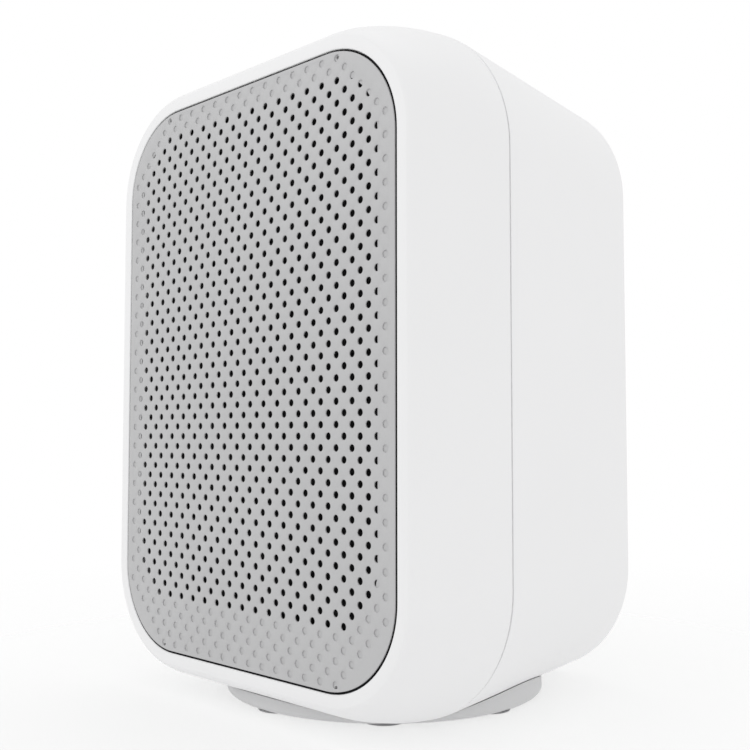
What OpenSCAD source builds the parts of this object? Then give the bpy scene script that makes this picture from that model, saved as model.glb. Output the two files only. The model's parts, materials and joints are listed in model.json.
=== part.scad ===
// Smart speaker: a white cabinet in two shells, with a perforated front and a round base.
// X is the width, -Y the front, +Z up. The origin is the centre of the floor contact.

/* [Cabinet] */
// Width at the parting line
cab_w = 122; // [118:1:150]
// Height of the cabinet
cab_h = 159; // [156:1:190]
// Depth of the cabinet, front face to back face
cab_d = 94; // [90:1:130]
// Width of the back face
rear_w = 91; // [84:1:110]
// Depth of the front housing, front face to parting line
split_d = 24.5; // [22:0.5:30]
// Corner radius at the parting line, seen from the front
corner_r = 32; // [28:1:38]
// Corner radius of the back face
rear_r = 30; // [24:1:36]
// Edge rounding of the back face
rear_edge = 2; // [1:0.5:3]
// Wall of both shells
wall = 3; // [2:0.1:3.5]
// Shadow gap at the parting line
seam_gap = 0.4; // [0.2:0.1:1]

/* [Grille] */
// Width of the grille
grille_w = 100.5; // [96:0.5:106]
// Height of the grille
grille_h = 138.5; // [132:0.5:144]
// Corner radius of the grille
grille_r = 21; // [16:0.5:24]
// Shadow gap round the grille
grille_gap = 0.5; // [0.3:0.1:1]
// Flat rim of the housing round the grille
rim_w = 2.7; // [2:0.1:4]
// Thickness of the perforated sheet
sheet_t = 0.3; // [0.3:0.1:1.2]
// Thickness of the frame behind the sheet
frame_t = 1.6; // [1.2:0.1:2.5]
// Distance between holes along one row
hole_pitch = 5; // [4:0.5:6]
// Diameter of the holes
hole_d = 1.65; // [1:0.05:2.2]
// Number of rows of holes, in half pitches from the centre
rows_half = 27; // [20:1:27]
// Number of columns of holes, in half pitches from the centre
cols_half = 19; // [14:1:19]
// Corner cut of the hole field, in half pitches
field_cut = 40; // [34:1:42]
// Width of the open area behind the holes
open_w = 90; // [80:1:92]
// Top of the open area above the grille's centre
open_top = 64; // [56:0.5:66]
// Bottom of the open area below the grille's centre
open_bottom = 56.5; // [50:0.5:62]
// Corner radius of the open area
open_r = 15; // [10:1:22]

/* [Base] */
// Diameter of the base disc
base_dia = 82; // [72:1:90]
// How far the disc stands below the cabinet
base_drop = 0.1; // [0:0.1:4]
// How far the disc is let into the cabinet's underside
base_pocket = 1; // [0.8:0.1:1.2]
// Bevel of the disc's lower edge
base_edge = 1; // [0.4:0.1:1.5]
// Thickness of the rubber feet
foot_t = 0.4; // [0.3:0.1:2]
// Diameter of the rubber feet
foot_d = 10; // [6:0.5:12]
// Diameter of the hub that locates the disc
hub_dia = 36; // [30:1:40]

/* [Woofer] */
// Diameter of the woofer's flange
woofer_d = 84; // [76:1:86]
// Height of the woofer's centre above the grille's centre
woofer_z = -18; // [-22:1:-14]
// Width of the flange outside the surround
flange_w = 6.5; // [6:0.5:8]
// Width of the surround, from cone to flange
surround_w = 8.5; // [7:0.5:9]
// Diameter of the voice coil
coil_d = 25; // [20:1:28]
// Cone travel each way
woofer_travel = 3; // [1:0.5:3]
// Diameter of the magnet
magnet_d = 62; // [50:1:66]
// Thickness of the magnet
magnet_t = 11; // [6:1:12]

/* [Tweeter] */
// Diameter of the tweeter's flange
tweeter_d = 42; // [36:1:44]
// Height of the tweeter's centre above the grille's centre
tweeter_z = 46; // [44:1:48]
// Diameter of the dome
dome_d = 20; // [16:1:22]
// Dome travel each way
tweeter_travel = 0.3; // [0.1:0.1:0.4]

/* [Controls] */
// Diameter of the top buttons
key_d = 10; // [8:0.5:11]
// Distance between the top buttons
key_gap = 15; // [14:0.5:16]
// Travel of the top buttons
key_travel = 0.5; // [0.3:0.1:0.8]
// Diameter of the reset button
reset_d = 5; // [4:0.5:6]
// Travel of the reset button
reset_travel = 0.6; // [0.3:0.1:0.8]

/* [Hidden] */
surround_d = woofer_d - 2 * flange_w;
cone_d = surround_d - 2 * surround_w;
$fn = 64;

eps = 0.01;
clear = 0.3; // between parts that move past each other

// Heights
cab_bottom = foot_t + base_drop;
mid_z = cab_bottom + cab_h / 2;
cab_top = cab_bottom + cab_h;
inner_top = cab_top - wall;

// Depths, front to back
y_front = -cab_d / 2;
y_rear = cab_d / 2;
y_split = y_front + split_d;
y_sheet = y_front + sheet_t;
y_frame = y_sheet + frame_t;
ledge_t = 3;
ledge_open = 0.3; // the ledge's opening clears the frame's opening by this
y_ledge = y_frame + ledge_t;
baffle_t = 4;
y_baffle = y_ledge + baffle_t;
y_inner = y_rear - wall;

// Front profile: flat rim, then a flare that ends square to the parting line
flare_n = 1.6;
function flare(d) = pow(1 - pow(1 - d / split_d, flare_n), 1 / flare_n);
rim_out = grille_gap + rim_w;
rim_half_w = grille_w / 2 + rim_out;
rim_half_h = grille_h / 2 + rim_out;
rim_r = grille_r + rim_out;
function front_half_w(d) = rim_half_w + (cab_w / 2 - rim_half_w) * flare(d);
function front_half_h(d) = rim_half_h + (cab_h / 2 - rim_half_h) * flare(d);
function front_r(d) = rim_r + (corner_r - rim_r) * flare(d);

// Rear profile: straight from the parting line to the back face
function rear_share(y) = (y - y_split) / (y_rear - y_split);
function rear_half_w(y) = cab_w / 2 + (rear_w - cab_w) / 2 * rear_share(y);
function rear_corner(y) = corner_r + (rear_r - corner_r) * rear_share(y);

// Fasteners
screw_r = 1.5;
screw_head_r = 2.5;
screw_head_t = 1.8;
insert_r = 2.1;
insert_l = 6;
boss_r = 4.5;
boss_l = 52;
housing_screw_l = 19;
// Four corner screws and two at the sides, in the ledge behind the grille
screw_corner = [open_w / 2 - 1.2, grille_h / 2 - 9.95];
screw_side_x = open_w / 2 + 3.1;
housing_screw_at = concat(
    [for (sx = [-1, 1], sz = [-1, 1]) [sx * screw_corner[0], sz * screw_corner[1]]],
    [for (sx = [-1, 1]) [sx * screw_side_x, 0]]
);

// Grille bushes
bush_r = 1.8;
stud_r = 1.1;
bush_at = concat(
    [for (sx = [-1, 1], sz = [-1, 1]) [sx * (open_w / 2 + 3), sz * grille_h / 4]],
    [[0, open_top + 3.4], [0, -open_bottom - 6.5]]
);

// Microphone ports, behind the outermost holes of the corners
mic_x = (field_cut - rows_half) * hole_pitch / 2;
mic_z = rows_half * hole_pitch / 2 + 0.4;
mic_port_r = 0.4;
mic_seal_r = 2.2;
mic_at = [for (sx = [-1, 1], sz = [-1, 1]) [sx * mic_x, sz * mic_z]];
mic_board_t = 1;

// Woofer depths, from the back of the baffle
gasket_t = 0.8;
flange_t = 2;
y_flange = y_baffle + gasket_t;
y_bowl = y_flange + flange_t;
bowl_d = 20;
bowl_t = 1.2;
y_plate = y_bowl + bowl_d;
plate_t = 4;
y_magnet = y_plate + plate_t;
y_yoke = y_magnet + magnet_t;
yoke_t = 4;
y_woofer_end = y_yoke + yoke_t;
surround_out = surround_d / 2;
flange_in = surround_out + 0.5;
flange_out = woofer_d / 2;
cone_r = cone_d / 2;
coil_r = coil_d / 2;
former_t = 0.4;
winding_t = 0.5;
coil_gap = 0.6;
bowl_r = surround_out - 5;
woofer_screw_head_r = 2.2;

// Tweeter depths
tweeter_plate_t = 2;
tweeter_cup_d = 14;
dome_r = dome_d / 2;
tweeter_bore = dome_r + 2.5;

// Boards
board_t = 1.6;
y_board = y_inner - 15;
main_size = [62, 70];
main_z = 26;
power_size = [78, 44];
power_z = -44;
main_holes = [for (sx = [-1, 1], sz = [-1, 1]) [sx * (main_size[0] / 2 - 5), main_z + sz * (main_size[1] / 2 - 5)]];
power_holes = [for (sx = [-1, 1], sz = [-1, 1]) [sx * (power_size[0] / 2 - 5), power_z + sz * (power_size[1] / 2 - 5)]];
board_holes = concat(main_holes, power_holes);
standoff_r = 3;
plug_size = [16, 6];
ribbon_x = -13;
ribbon_w = 12;
main_plug_z = main_z - main_size[1] / 2 + 8;
power_plug_z = power_z + power_size[1] / 2 - 5;
power_out_at = [20, power_z - 14];
power_out_h = 7;

// Power inlet, an IEC two-pole shape
inlet_z = power_z - 2;
inlet_body = [17, 10.5];
inlet_cavity_r = 4.1;
inlet_pin_x = 4.3;
inlet_pin_r = 1.2;
inlet_depth = 13;
reset_at = [24, inlet_z];

// Top keys
key_y = 2;
key_x = [-key_gap, 0, key_gap];
key_board_z = inner_top - 7.6;
key_board_t = 1.2;
key_board_size = [54, 26];
key_board_y = key_y - 5;
key_flange_t = 1.4;
guide_y = key_y - 12;
guide_r = 1.2;
key_post_x = 23;

// ---------- helpers ----------

// Rounded rectangle with true arcs
module rounded(w, h, r) {
    square([w - 2 * r, h], center = true);
    square([w, h - 2 * r], center = true);
    for (sx = [-1, 1], sz = [-1, 1])
        translate([sx * (w / 2 - r), sz * (h / 2 - r)]) circle(r);
}

// A flat shape seen from the front, as a slab that starts at depth y
module slab(y, t) {
    translate([0, y + t, mid_z]) rotate([90, 0, 0]) linear_extrude(t) children();
}

// A profile of [radius, depth] turned about an axis along Y at height z
module turned(x, z) {
    translate([x, 0, mid_z + z]) rotate([-90, 0, 0]) rotate_extrude() children();
}

// A round bar along Y
module bar_y(x, z, r, y0, y1) {
    translate([x, y0, mid_z + z]) rotate([-90, 0, 0]) cylinder(r = r, h = y1 - y0);
}

// The open area of the grille, grown by g
module open_area(g) {
    w = open_w + 2 * g;
    h = open_top + open_bottom + 2 * g;
    translate([0, (open_top - open_bottom) / 2]) rounded(w, h, open_r + g);
}

// A lead that runs flat across the cabinet at depth y, with a rounder spot at each bend
module lead_run(points, r, y) slab(y, 2 * r) {
    for (i = [0 : len(points) - 2]) {
        d = points[i + 1] - points[i];
        translate(points[i]) rotate(atan2(d[1], d[0])) translate([0, -r]) square([norm(d), 2 * r]);
    }
    for (p = points) translate(p) circle(r + 0.15);
}

// ---------- cabinet ----------

front_steps = 9;
slice_fn = 64;

// Outer form of the front housing, with every face moved in by inset, from depth d0 on
module front_form(inset, d0, d1) {
    hull() for (i = [0 : front_steps]) {
        d = d0 + (d1 - d0) * pow(i / front_steps, 2);
        slab(y_front + min(d, d1 - eps), eps)
            rounded(2 * (front_half_w(d) - inset), 2 * (front_half_h(d) - inset), front_r(d) - inset, $fn = slice_fn);
    }
}

// Outer form of the rear shell, moved in by inset, with its back face at y_end
module rear_form(inset, y0, y_end, edge) {
    hull() {
        slab(y0, eps) rounded(2 * (rear_half_w(y0) - inset), cab_h - 2 * inset, rear_corner(y0) - inset, $fn = slice_fn);
        for (a = [0, 30, 60, 90]) {
            y = y_end - edge * (1 - sin(a));
            in = inset + edge * (1 - cos(a));
            slab(y - eps, eps) rounded(2 * (rear_half_w(y) - in), cab_h - 2 * in, rear_corner(y) - in, $fn = slice_fn);
        }
    }
}

// Room for the base disc in the underside of both shells
seat_gap = 0.1;
module disc_pocket() cylinder(r = base_dia / 2 + seat_gap, h = cab_bottom + base_pocket + seat_gap);

module front_housing() color("white") difference() {
    front_form(0, 0, split_d - seam_gap / 2);
    slab(y_front - 1, 1 + sheet_t + frame_t) rounded(grille_w + 2 * grille_gap, grille_h + 2 * grille_gap, grille_r + grille_gap);
    slab(y_frame - 1, ledge_t + 2) open_area(ledge_open);
    front_form(wall, ledge_t + sheet_t + frame_t, split_d);
    for (p = housing_screw_at) {
        bar_y(p[0], p[1], screw_r + 0.2, y_frame - 1, y_ledge + 1);
        bar_y(p[0], p[1], screw_head_r + 0.15, y_frame - 1, y_frame + screw_head_t);
    }
    for (p = bush_at) bar_y(p[0], p[1], bush_r, y_frame - 1, y_ledge + 1);
    for (p = mic_at) bar_y(p[0], p[1], mic_seal_r, y_frame - 1, y_ledge + 1);
    disc_pocket();
}

lip_t = 1.5;
lip_l = 3;
hub_r = hub_dia / 2;
hub_h = 4;
hub_top = cab_bottom + hub_h;
base_screw_r = 12;
base_screw_boss = 6;
base_screw_at = [for (a = [90, 210, 330]) [base_screw_r * cos(a), base_screw_r * sin(a)]];

module rear_walls() difference() {
    rear_form(0, y_split + seam_gap / 2, y_rear, rear_edge);
    rear_form(wall, y_split - 1, y_inner, 1);
}

lip_in = wall + 0.5;
module section(inset) rounded(cab_w - 2 * inset, cab_h - 2 * inset, corner_r - inset);
module locating_lip() difference() {
    union() {
        slab(y_split - lip_l, lip_l + seam_gap) section(lip_in);
        slab(y_split + seam_gap / 2, lip_l) section(wall - 0.5);
    }
    slab(y_split - lip_l - 1, 2 * lip_l + 3) section(lip_in + lip_t);
}

module rear_shell() color("white") difference() {
    union() {
        rear_walls();
        intersection() {
            locating_lip();
            rear_form(0.5, y_split - lip_l - 1, y_rear, rear_edge);
        }
        for (p = housing_screw_at) bar_y(p[0], p[1], boss_r, y_baffle, y_baffle + boss_l);
        for (p = board_holes) bar_y(p[0], p[1], standoff_r, y_board, y_inner + 1);
        for (sx = [-1, 1]) translate([sx * key_post_x, key_board_y, key_board_z + key_board_t])
            cylinder(r = 2.5, h = inner_top + 1 - key_board_z - key_board_t);
        translate([0, 0, cab_bottom + 1]) cylinder(r = hub_r + 0.25 + wall, h = hub_top + wall - cab_bottom - 1);
        for (p = base_screw_at) translate([p[0], p[1], hub_top]) cylinder(r = 3.5, h = wall + base_screw_boss);
    }
    disc_pocket();
    translate([0, 0, -1]) cylinder(r = hub_r + 0.25, h = hub_top + 1.1);
    for (p = base_screw_at) translate([p[0], p[1], hub_top - 1]) cylinder(r = 1.25, h = wall + base_screw_boss);
    for (p = housing_screw_at) {
        bar_y(p[0], p[1], insert_r, y_baffle - 1, y_baffle + insert_l);
        bar_y(p[0], p[1], screw_r + 0.1, y_baffle, y_baffle + housing_screw_l);
    }
    for (p = board_holes) bar_y(p[0], p[1], 1.2, y_board - 1, y_board + 9);
    slab(y_inner - 1, wall + 2) translate([0, inlet_z]) square([inlet_body[0] + 0.2, inlet_body[1] + 0.2], center = true);
    bar_y(reset_at[0], reset_at[1], reset_d / 2 + clear, y_inner - 1, y_rear + 1);
    for (x = key_x) translate([x, key_y, inner_top - 1]) cylinder(d = key_d + 2 * clear, h = wall + 2);
    translate([0, guide_y, inner_top - 1]) cylinder(r = guide_r, h = wall + 2);
    for (sx = [-1, 1]) translate([sx * key_post_x, key_board_y, key_board_z]) cylinder(r = 1, h = 6);
}

gasket_inset = 1.2;
module seam_gasket() color("dimgray") slab(y_split - seam_gap / 2, seam_gap) difference() {
    section(gasket_inset);
    section(lip_in - 0.1);
}

// ---------- grille ----------

// Places of the holes: a square field turned by 45 degrees, with its corners cut
hole_at = [
    for (i = [-cols_half : cols_half], j = [-rows_half : rows_half])
        if ((i + j) % 2 == 0 && abs(i) + abs(j) <= field_cut) [i, j] * hole_pitch / 2
];

module grille_sheet() color("lightgray") slab(y_front, sheet_t) difference() {
    rounded(grille_w, grille_h, grille_r);
    for (p = hole_at) translate(p) circle(d = hole_d);
}

frame_inset = 1;
module grille_frame() color("silver") {
    difference() {
        slab(y_sheet, frame_t) rounded(grille_w - frame_inset - 0.1, grille_h - frame_inset - 0.1, grille_r - frame_inset / 2 - 0.05);
        slab(y_sheet - 1, frame_t + 2) open_area(0);
        for (p = mic_at) bar_y(p[0], p[1], mic_port_r, y_sheet - 1, y_frame + 1);
    }
    for (p = bush_at) bar_y(p[0], p[1], stud_r, y_frame - eps, y_ledge - 0.2);
}

cloth_t = 0.3;
module grille_cloth() color("black") difference() {
    slab(y_frame, cloth_t) open_area(ledge_open - 0.1);
    for (p = housing_screw_at) bar_y(p[0], p[1], screw_head_r + 0.2, y_frame - 1, y_ledge + 1);
}

// Dark ring that fills the gap behind the sheet's edge
module grille_seal() color("black") slab(y_sheet, frame_t) difference() {
    rounded(grille_w + 2 * grille_gap - 0.1, grille_h + 2 * grille_gap - 0.1, grille_r + grille_gap - 0.05);
    rounded(grille_w - frame_inset, grille_h - frame_inset, grille_r - frame_inset / 2);
}

module grille_bushes() color("dimgray") for (p = bush_at) difference() {
    bar_y(p[0], p[1], bush_r, y_frame, y_ledge);
    bar_y(p[0], p[1], stud_r, y_frame - 1, y_ledge + 1);
}

module microphone_seals() color("dimgray") for (p = mic_at) difference() {
    bar_y(p[0], p[1], mic_seal_r, y_frame, y_ledge);
    bar_y(p[0], p[1], mic_port_r + 0.3, y_frame - 1, y_ledge + 1);
}

mic_board = [8, 7];
// Each board sits in a pocket of the baffle, level with the baffle's face
function mic_board_z(z) = z - sign(z) * 1.6;
module microphone_boards() color("darkgreen") for (p = mic_at) difference() {
    union() {
        slab(y_ledge, mic_board_t) translate([p[0], mic_board_z(p[1])]) square(mic_board, center = true);
        slab(y_ledge + mic_board_t, 1) translate([p[0], mic_board_z(p[1])]) square([4, 3], center = true);
    }
    bar_y(p[0], p[1], 0.4, y_ledge - 1, y_ledge + mic_board_t);
}

// ---------- baffle and woofer ----------

baffle_d = sheet_t + frame_t + ledge_t;
baffle_w = 2 * (front_half_w(baffle_d) - wall - 0.5);
baffle_h = 2 * (front_half_h(baffle_d) - wall - 0.5);
baffle_r = front_r(baffle_d) - wall - 0.5;
woofer_screw_ring = flange_in + bowl_t + woofer_screw_head_r + 0.2;
woofer_screw_at = [
    for (a = [45 : 90 : 315]) [woofer_screw_ring * cos(a), woofer_z + woofer_screw_ring * sin(a)]
];
tweeter_pcd_r = (tweeter_d / 2 + tweeter_bore) / 2 + 1.4;
tweeter_screw_at = [for (a = [45 : 90 : 315]) [tweeter_pcd_r * cos(a), tweeter_z + tweeter_pcd_r * sin(a)]];

module baffle() color([0.2, 0.2, 0.21]) difference() {
    slab(y_ledge, baffle_t) rounded(baffle_w, baffle_h, baffle_r);
    bar_y(0, woofer_z, flange_in + 0.7, y_ledge - 1, y_baffle + 1);
    bar_y(0, tweeter_z, tweeter_bore + 0.5, y_ledge - 1, y_baffle + 1);
    for (p = housing_screw_at) bar_y(p[0], p[1], screw_r + 0.2, y_ledge - 1, y_baffle + 1);
    for (p = concat(woofer_screw_at, tweeter_screw_at)) bar_y(p[0], p[1], 1.2, y_ledge + 0.5, y_baffle + 1);
    for (p = mic_at) slab(y_ledge - 1, 1 + mic_board_t + 1.2)
        translate([p[0], mic_board_z(p[1])]) square([mic_board[0] + 0.4, mic_board[1] + 0.4], center = true);
}

module woofer_gasket() color("black") difference() {
    bar_y(0, woofer_z, flange_out, y_baffle, y_flange);
    bar_y(0, woofer_z, flange_in, y_baffle - 1, y_flange + 1);
    for (p = woofer_screw_at) bar_y(p[0], p[1], 1.7, y_baffle - 1, y_flange + 1);
}

windows = 6;
module woofer_basket() color([0.15, 0.15, 0.16]) difference() {
    turned(0, woofer_z) polygon([
        [flange_in, y_flange], [flange_out, y_flange], [flange_out, y_bowl], [flange_in + bowl_t, y_bowl],
        [bowl_r + bowl_t, y_plate], [coil_r + 3, y_plate], [coil_r + 3, y_plate - bowl_t],
        [bowl_r, y_plate - bowl_t], [flange_in, y_bowl - 0.6]
    ]);
    for (p = woofer_screw_at) bar_y(p[0], p[1], 1.7, y_flange - 1, y_bowl + 1);
    for (i = [0 : windows - 1]) translate([0, y_bowl + 3, mid_z + woofer_z])
        rotate([0, i * 360 / windows + 30, 0]) translate([bowl_r + 6, (bowl_d - 7) / 2, 0])
            cube([20, bowl_d - 7, 20], center = true);
}

module woofer_top_plate() color("silver") difference() {
    bar_y(0, woofer_z, magnet_d / 2 - 1, y_plate, y_magnet);
    bar_y(0, woofer_z, coil_r + winding_t + coil_gap, y_plate - 1, y_magnet + 1);
}

module woofer_magnet() color([0.25, 0.25, 0.27]) difference() {
    bar_y(0, woofer_z, magnet_d / 2, y_magnet, y_yoke);
    bar_y(0, woofer_z, coil_r + 4, y_magnet - 1, y_yoke + 1);
}

pole_r = coil_r - former_t - coil_gap;
module woofer_yoke() color("silver") union() {
    bar_y(0, woofer_z, magnet_d / 2 - 1, y_yoke, y_woofer_end);
    bar_y(0, woofer_z, pole_r, y_plate, y_yoke + eps);
}

woofer_screw_l = 5;
module woofer_screws() color("darkslategray") for (p = woofer_screw_at) {
    bar_y(p[0], p[1], woofer_screw_head_r, y_bowl, y_bowl + 1.4);
    bar_y(p[0], p[1], 1.2, y_bowl - woofer_screw_l, y_bowl + eps);
}

terminal_r = flange_in + 3.4;
terminal_t = 1.2;
module woofer_terminal() color("peru") slab(y_bowl, terminal_t)
    translate([0, woofer_z + terminal_r]) square([14, 4], center = true);

neck_y = y_bowl + 9;
cone_y = y_baffle;
cone_t = 0.8;
module woofer_cone() color([0.12, 0.12, 0.13]) turned(0, woofer_z) polygon([
    [coil_r, neck_y], [cone_r, cone_y], [cone_r, cone_y + cone_t + 0.6], [coil_r, neck_y + cone_t + 0.6]
]);

roll_t = 0.6;
module woofer_surround() color([0.08, 0.08, 0.08]) turned(0, woofer_z) {
    mid = (cone_r + surround_out) / 2;
    roll = (surround_out - cone_r) / 2;
    difference() {
        translate([mid, cone_y + 0.9]) circle(roll);
        translate([mid, cone_y + 0.9]) circle(roll - roll_t);
        translate([mid - 2 * roll, cone_y + 0.9]) square([4 * roll, 2 * roll]);
    }
}

module dust_cap() color([0.1, 0.1, 0.1]) turned(0, woofer_z) {
    cap_r = coil_r * 1.25;
    lift = sqrt(cap_r * cap_r - coil_r * coil_r);
    intersection() {
        difference() {
            translate([0, neck_y + lift]) circle(cap_r);
            translate([0, neck_y + lift]) circle(cap_r - 0.6);
        }
        translate([0, neck_y - cap_r]) square([coil_r, cap_r]);
    }
}

former_end = y_magnet + 2;
module voice_coil() color("peru") turned(0, woofer_z) {
    translate([coil_r - former_t, neck_y]) square([former_t, former_end - neck_y]);
    translate([coil_r - eps, y_plate - 1]) square([winding_t + eps, plate_t + 2.5]);
}

spider_y = neck_y + 4;
module woofer_spider() color("goldenrod") turned(0, woofer_z) {
    spider_out = bowl_r - woofer_travel;
    waves = 4;
    wave = (spider_out - coil_r) / waves;
    for (i = [0 : waves - 1])
        translate([coil_r + i * wave, spider_y]) polygon([
            [0, 0], [wave / 2, 1], [wave, 0], [wave, 0.4], [wave / 2, 1.4], [0, 0.4]
        ]);
}

// ---------- tweeter ----------

module tweeter_plate() color([0.15, 0.15, 0.16]) difference() {
    bar_y(0, tweeter_z, tweeter_d / 2, y_baffle, y_baffle + tweeter_plate_t);
    bar_y(0, tweeter_z, tweeter_bore, y_baffle - 1, y_baffle + tweeter_plate_t + 1);
    for (p = tweeter_screw_at) bar_y(p[0], p[1], 1.7, y_baffle - 1, y_baffle + tweeter_plate_t + 1);
}

tweeter_cup_y = y_baffle + tweeter_plate_t;
tweeter_coil_r = dome_r - 0.2;
module tweeter_magnet() color("silver") difference() {
    bar_y(0, tweeter_z, tweeter_bore + 2, tweeter_cup_y, tweeter_cup_y + tweeter_cup_d);
    turned(0, tweeter_z) difference() {
        translate([0, tweeter_cup_y - 1]) square([tweeter_coil_r + 0.7, 9]);
        translate([0, tweeter_cup_y + 1]) square([tweeter_coil_r - 0.8, 9]);
    }
}

module tweeter_dome() color([0.3, 0.3, 0.32]) turned(0, tweeter_z) {
    cap_r = dome_r * 1.1;
    lift = sqrt(cap_r * cap_r - dome_r * dome_r);
    intersection() {
        difference() {
            translate([0, tweeter_cup_y - 0.6 + lift]) circle(cap_r);
            translate([0, tweeter_cup_y - 0.6 + lift]) circle(cap_r - 0.4);
        }
        translate([0, y_front]) square([dome_r, tweeter_cup_y - 0.6 - y_front]);
    }
    translate([dome_r - eps, tweeter_cup_y - 1.2]) square([tweeter_bore - dome_r - clear, 0.6]);
}

module tweeter_coil() color("peru") turned(0, tweeter_z)
    translate([tweeter_coil_r - 0.4, tweeter_cup_y - 0.6]) square([0.6, 5]);

module tweeter_screws() color("darkslategray") for (p = tweeter_screw_at) {
    bar_y(p[0], p[1], 2.2, tweeter_cup_y, tweeter_cup_y + 1.3);
    bar_y(p[0], p[1], 1.2, tweeter_cup_y - 4.5, tweeter_cup_y + eps);
}

module damping_pads() color([0.5, 0.5, 0.5]) for (sx = [-1, 1]) slab(y_baffle, 8)
    translate([sx * (tweeter_d / 2 + 9.5), tweeter_z - 7]) square([15, 18], center = true);

// ---------- electronics ----------

module board_outline(size, z, holes) slab(y_board - board_t, board_t) difference() {
    translate([0, z]) square(size, center = true);
    for (p = holes) translate(p) circle(1.4);
}

module main_board() color("darkgreen") union() {
    board_outline(main_size, main_z, main_holes);
    slab(y_board - board_t - 5, 5) translate([ribbon_x, main_plug_z]) square(plug_size, center = true);
    slab(y_board - board_t - 1.2, 1.2) translate([14, main_z - 14]) square([12, 12], center = true);
}

module shield_can() color("silver") slab(y_board - board_t - 2.8, 2.8)
    translate([0, main_z + 12]) rounded(30, 24, 1.5);

module antennas() color("goldenrod") for (sx = [-1, 1]) slab(y_inner - 0.8, 0.8)
    translate([sx * 14, main_z + 26]) square([9, 24], center = true);

module power_board() color("darkgreen") union() {
    board_outline(power_size, power_z, power_holes);
    slab(y_board - board_t - 5, 5) translate([ribbon_x, power_plug_z]) square(plug_size, center = true);
    slab(y_board - board_t - power_out_h, power_out_h) translate(power_out_at) square([11, 6], center = true);
}

module transformer() color("khaki") union() {
    slab(y_board - board_t - 15, 15) translate([-20, power_z]) square([20, 18], center = true);
    slab(y_board - board_t - 11, 7) translate([-20, power_z]) square([26, 14], center = true);
}

module capacitors() color("black") for (z = [-8, 6])
    bar_y(3, power_z + z, 5, y_board - board_t - 14, y_board - board_t);

fins = 5;
sink_at = [22, power_z + 3];
sink_size = [20, 20];
module heat_sink() color("silver") union() {
    slab(y_board - board_t - 3, 3) translate(sink_at) square(sink_size, center = true);
    for (i = [0 : fins - 1]) slab(y_board - board_t - 12, 9 + eps)
        translate([sink_at[0] + (i - (fins - 1) / 2) * 4.5, sink_at[1]]) square([1.4, sink_size[1]], center = true);
}

module board_ribbon() color("slategray") slab(y_board - board_t - 6, 1)
    translate([ribbon_x, (main_plug_z + power_plug_z) / 2]) square([ribbon_w, main_plug_z - power_plug_z + plug_size[1]], center = true);

module power_inlet() color([0.1, 0.1, 0.1]) difference() {
    slab(y_board, y_rear - y_board) translate([0, inlet_z]) square(inlet_body, center = true);
    slab(y_rear - inlet_depth, inlet_depth + 1) translate([0, inlet_z]) union() {
        for (sx = [-1, 1]) translate([sx * 3.3, 0]) circle(inlet_cavity_r);
        square([6.6, 2 * inlet_cavity_r], center = true);
    }
    for (sx = [-1, 1]) bar_y(sx * inlet_pin_x, inlet_z, inlet_pin_r, y_board - 1, y_rear - inlet_depth + 1);
}

module inlet_pins() color("silver") for (sx = [-1, 1])
    bar_y(sx * inlet_pin_x, inlet_z, inlet_pin_r, y_board, y_rear - 2);

reset_flange_t = 1.2;
reset_flange_y = y_inner - clear - reset_flange_t;
module reset_button() color("gray") union() {
    bar_y(reset_at[0], reset_at[1], reset_d / 2, reset_flange_y, y_rear - 0.3);
    bar_y(reset_at[0], reset_at[1], reset_d / 2 + 1, reset_flange_y, reset_flange_y + reset_flange_t);
}

module reset_switch() color("black") union() {
    slab(y_board, 5) translate(reset_at) square([6, 6], center = true);
    bar_y(reset_at[0], reset_at[1], 1.2, y_board, reset_flange_y - reset_travel - clear);
}

module board_screws() color("silver") {
    for (p = board_holes) {
        bar_y(p[0], p[1], 2.2, y_board - board_t - 1.3, y_board - board_t);
        bar_y(p[0], p[1], 1.2, y_board - board_t - eps, y_board + 6);
    }
    for (sx = [-1, 1]) translate([sx * key_post_x, key_board_y, key_board_z]) {
        translate([0, 0, -1.2]) cylinder(r = 1.9, h = 1.2);
        translate([0, 0, -eps]) cylinder(r = 1, h = 5);
    }
}

// ---------- top controls ----------

module button_board() color("darkgreen") difference() {
    translate([-key_board_size[0] / 2, key_board_y - key_board_size[1] / 2, key_board_z])
        cube([key_board_size[0], key_board_size[1], key_board_t]);
    for (sx = [-1, 1]) translate([sx * key_post_x, key_board_y, key_board_z - 1]) cylinder(r = 1.2, h = 4);
}

key_flange_z = inner_top - clear - key_flange_t;
module button_switches() color("black") for (x = key_x) translate([x, key_y, key_board_z + key_board_t]) {
    translate([-3, -3, 0]) cube([6, 6, 3]);
    cylinder(r = 1.7, h = key_flange_z - key_travel - clear - key_board_z - key_board_t);
}

key_recess = 0.2;
module key(x) color("whitesmoke") translate([x, key_y, key_flange_z]) {
    cylinder(d = key_d, h = cab_top - key_recess - key_flange_z);
    cylinder(d = key_d + 2.4, h = key_flange_t);
}
module volume_down_button() key(key_x[0]);
module action_button() key(key_x[1]);
module volume_up_button() key(key_x[2]);

module light_guide() color([0.85, 0.95, 1]) translate([0, guide_y, key_board_z + key_board_t])
    cylinder(r = guide_r, h = cab_top - key_board_z - key_board_t);

// ---------- leads ----------

lead_r = 0.9;
touch = 0.1; // between a lead's end and what it is joined to
woofer_lead_y = y_woofer_end + 2.5;
woofer_lead_x = 39;
module woofer_lead() color("firebrick") union() {
    start = [0, woofer_z + terminal_r];
    bar_y(start[0], start[1], lead_r, y_bowl + terminal_t + touch, woofer_lead_y + lead_r);
    lead_run([
        start, [woofer_lead_x - 10, start[1]], [woofer_lead_x, start[1] - 10],
        [woofer_lead_x, power_z + 6], power_out_at
    ], lead_r, woofer_lead_y);
    bar_y(power_out_at[0], power_out_at[1], lead_r, woofer_lead_y + lead_r, y_board - board_t - power_out_h - touch);
}

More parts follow.
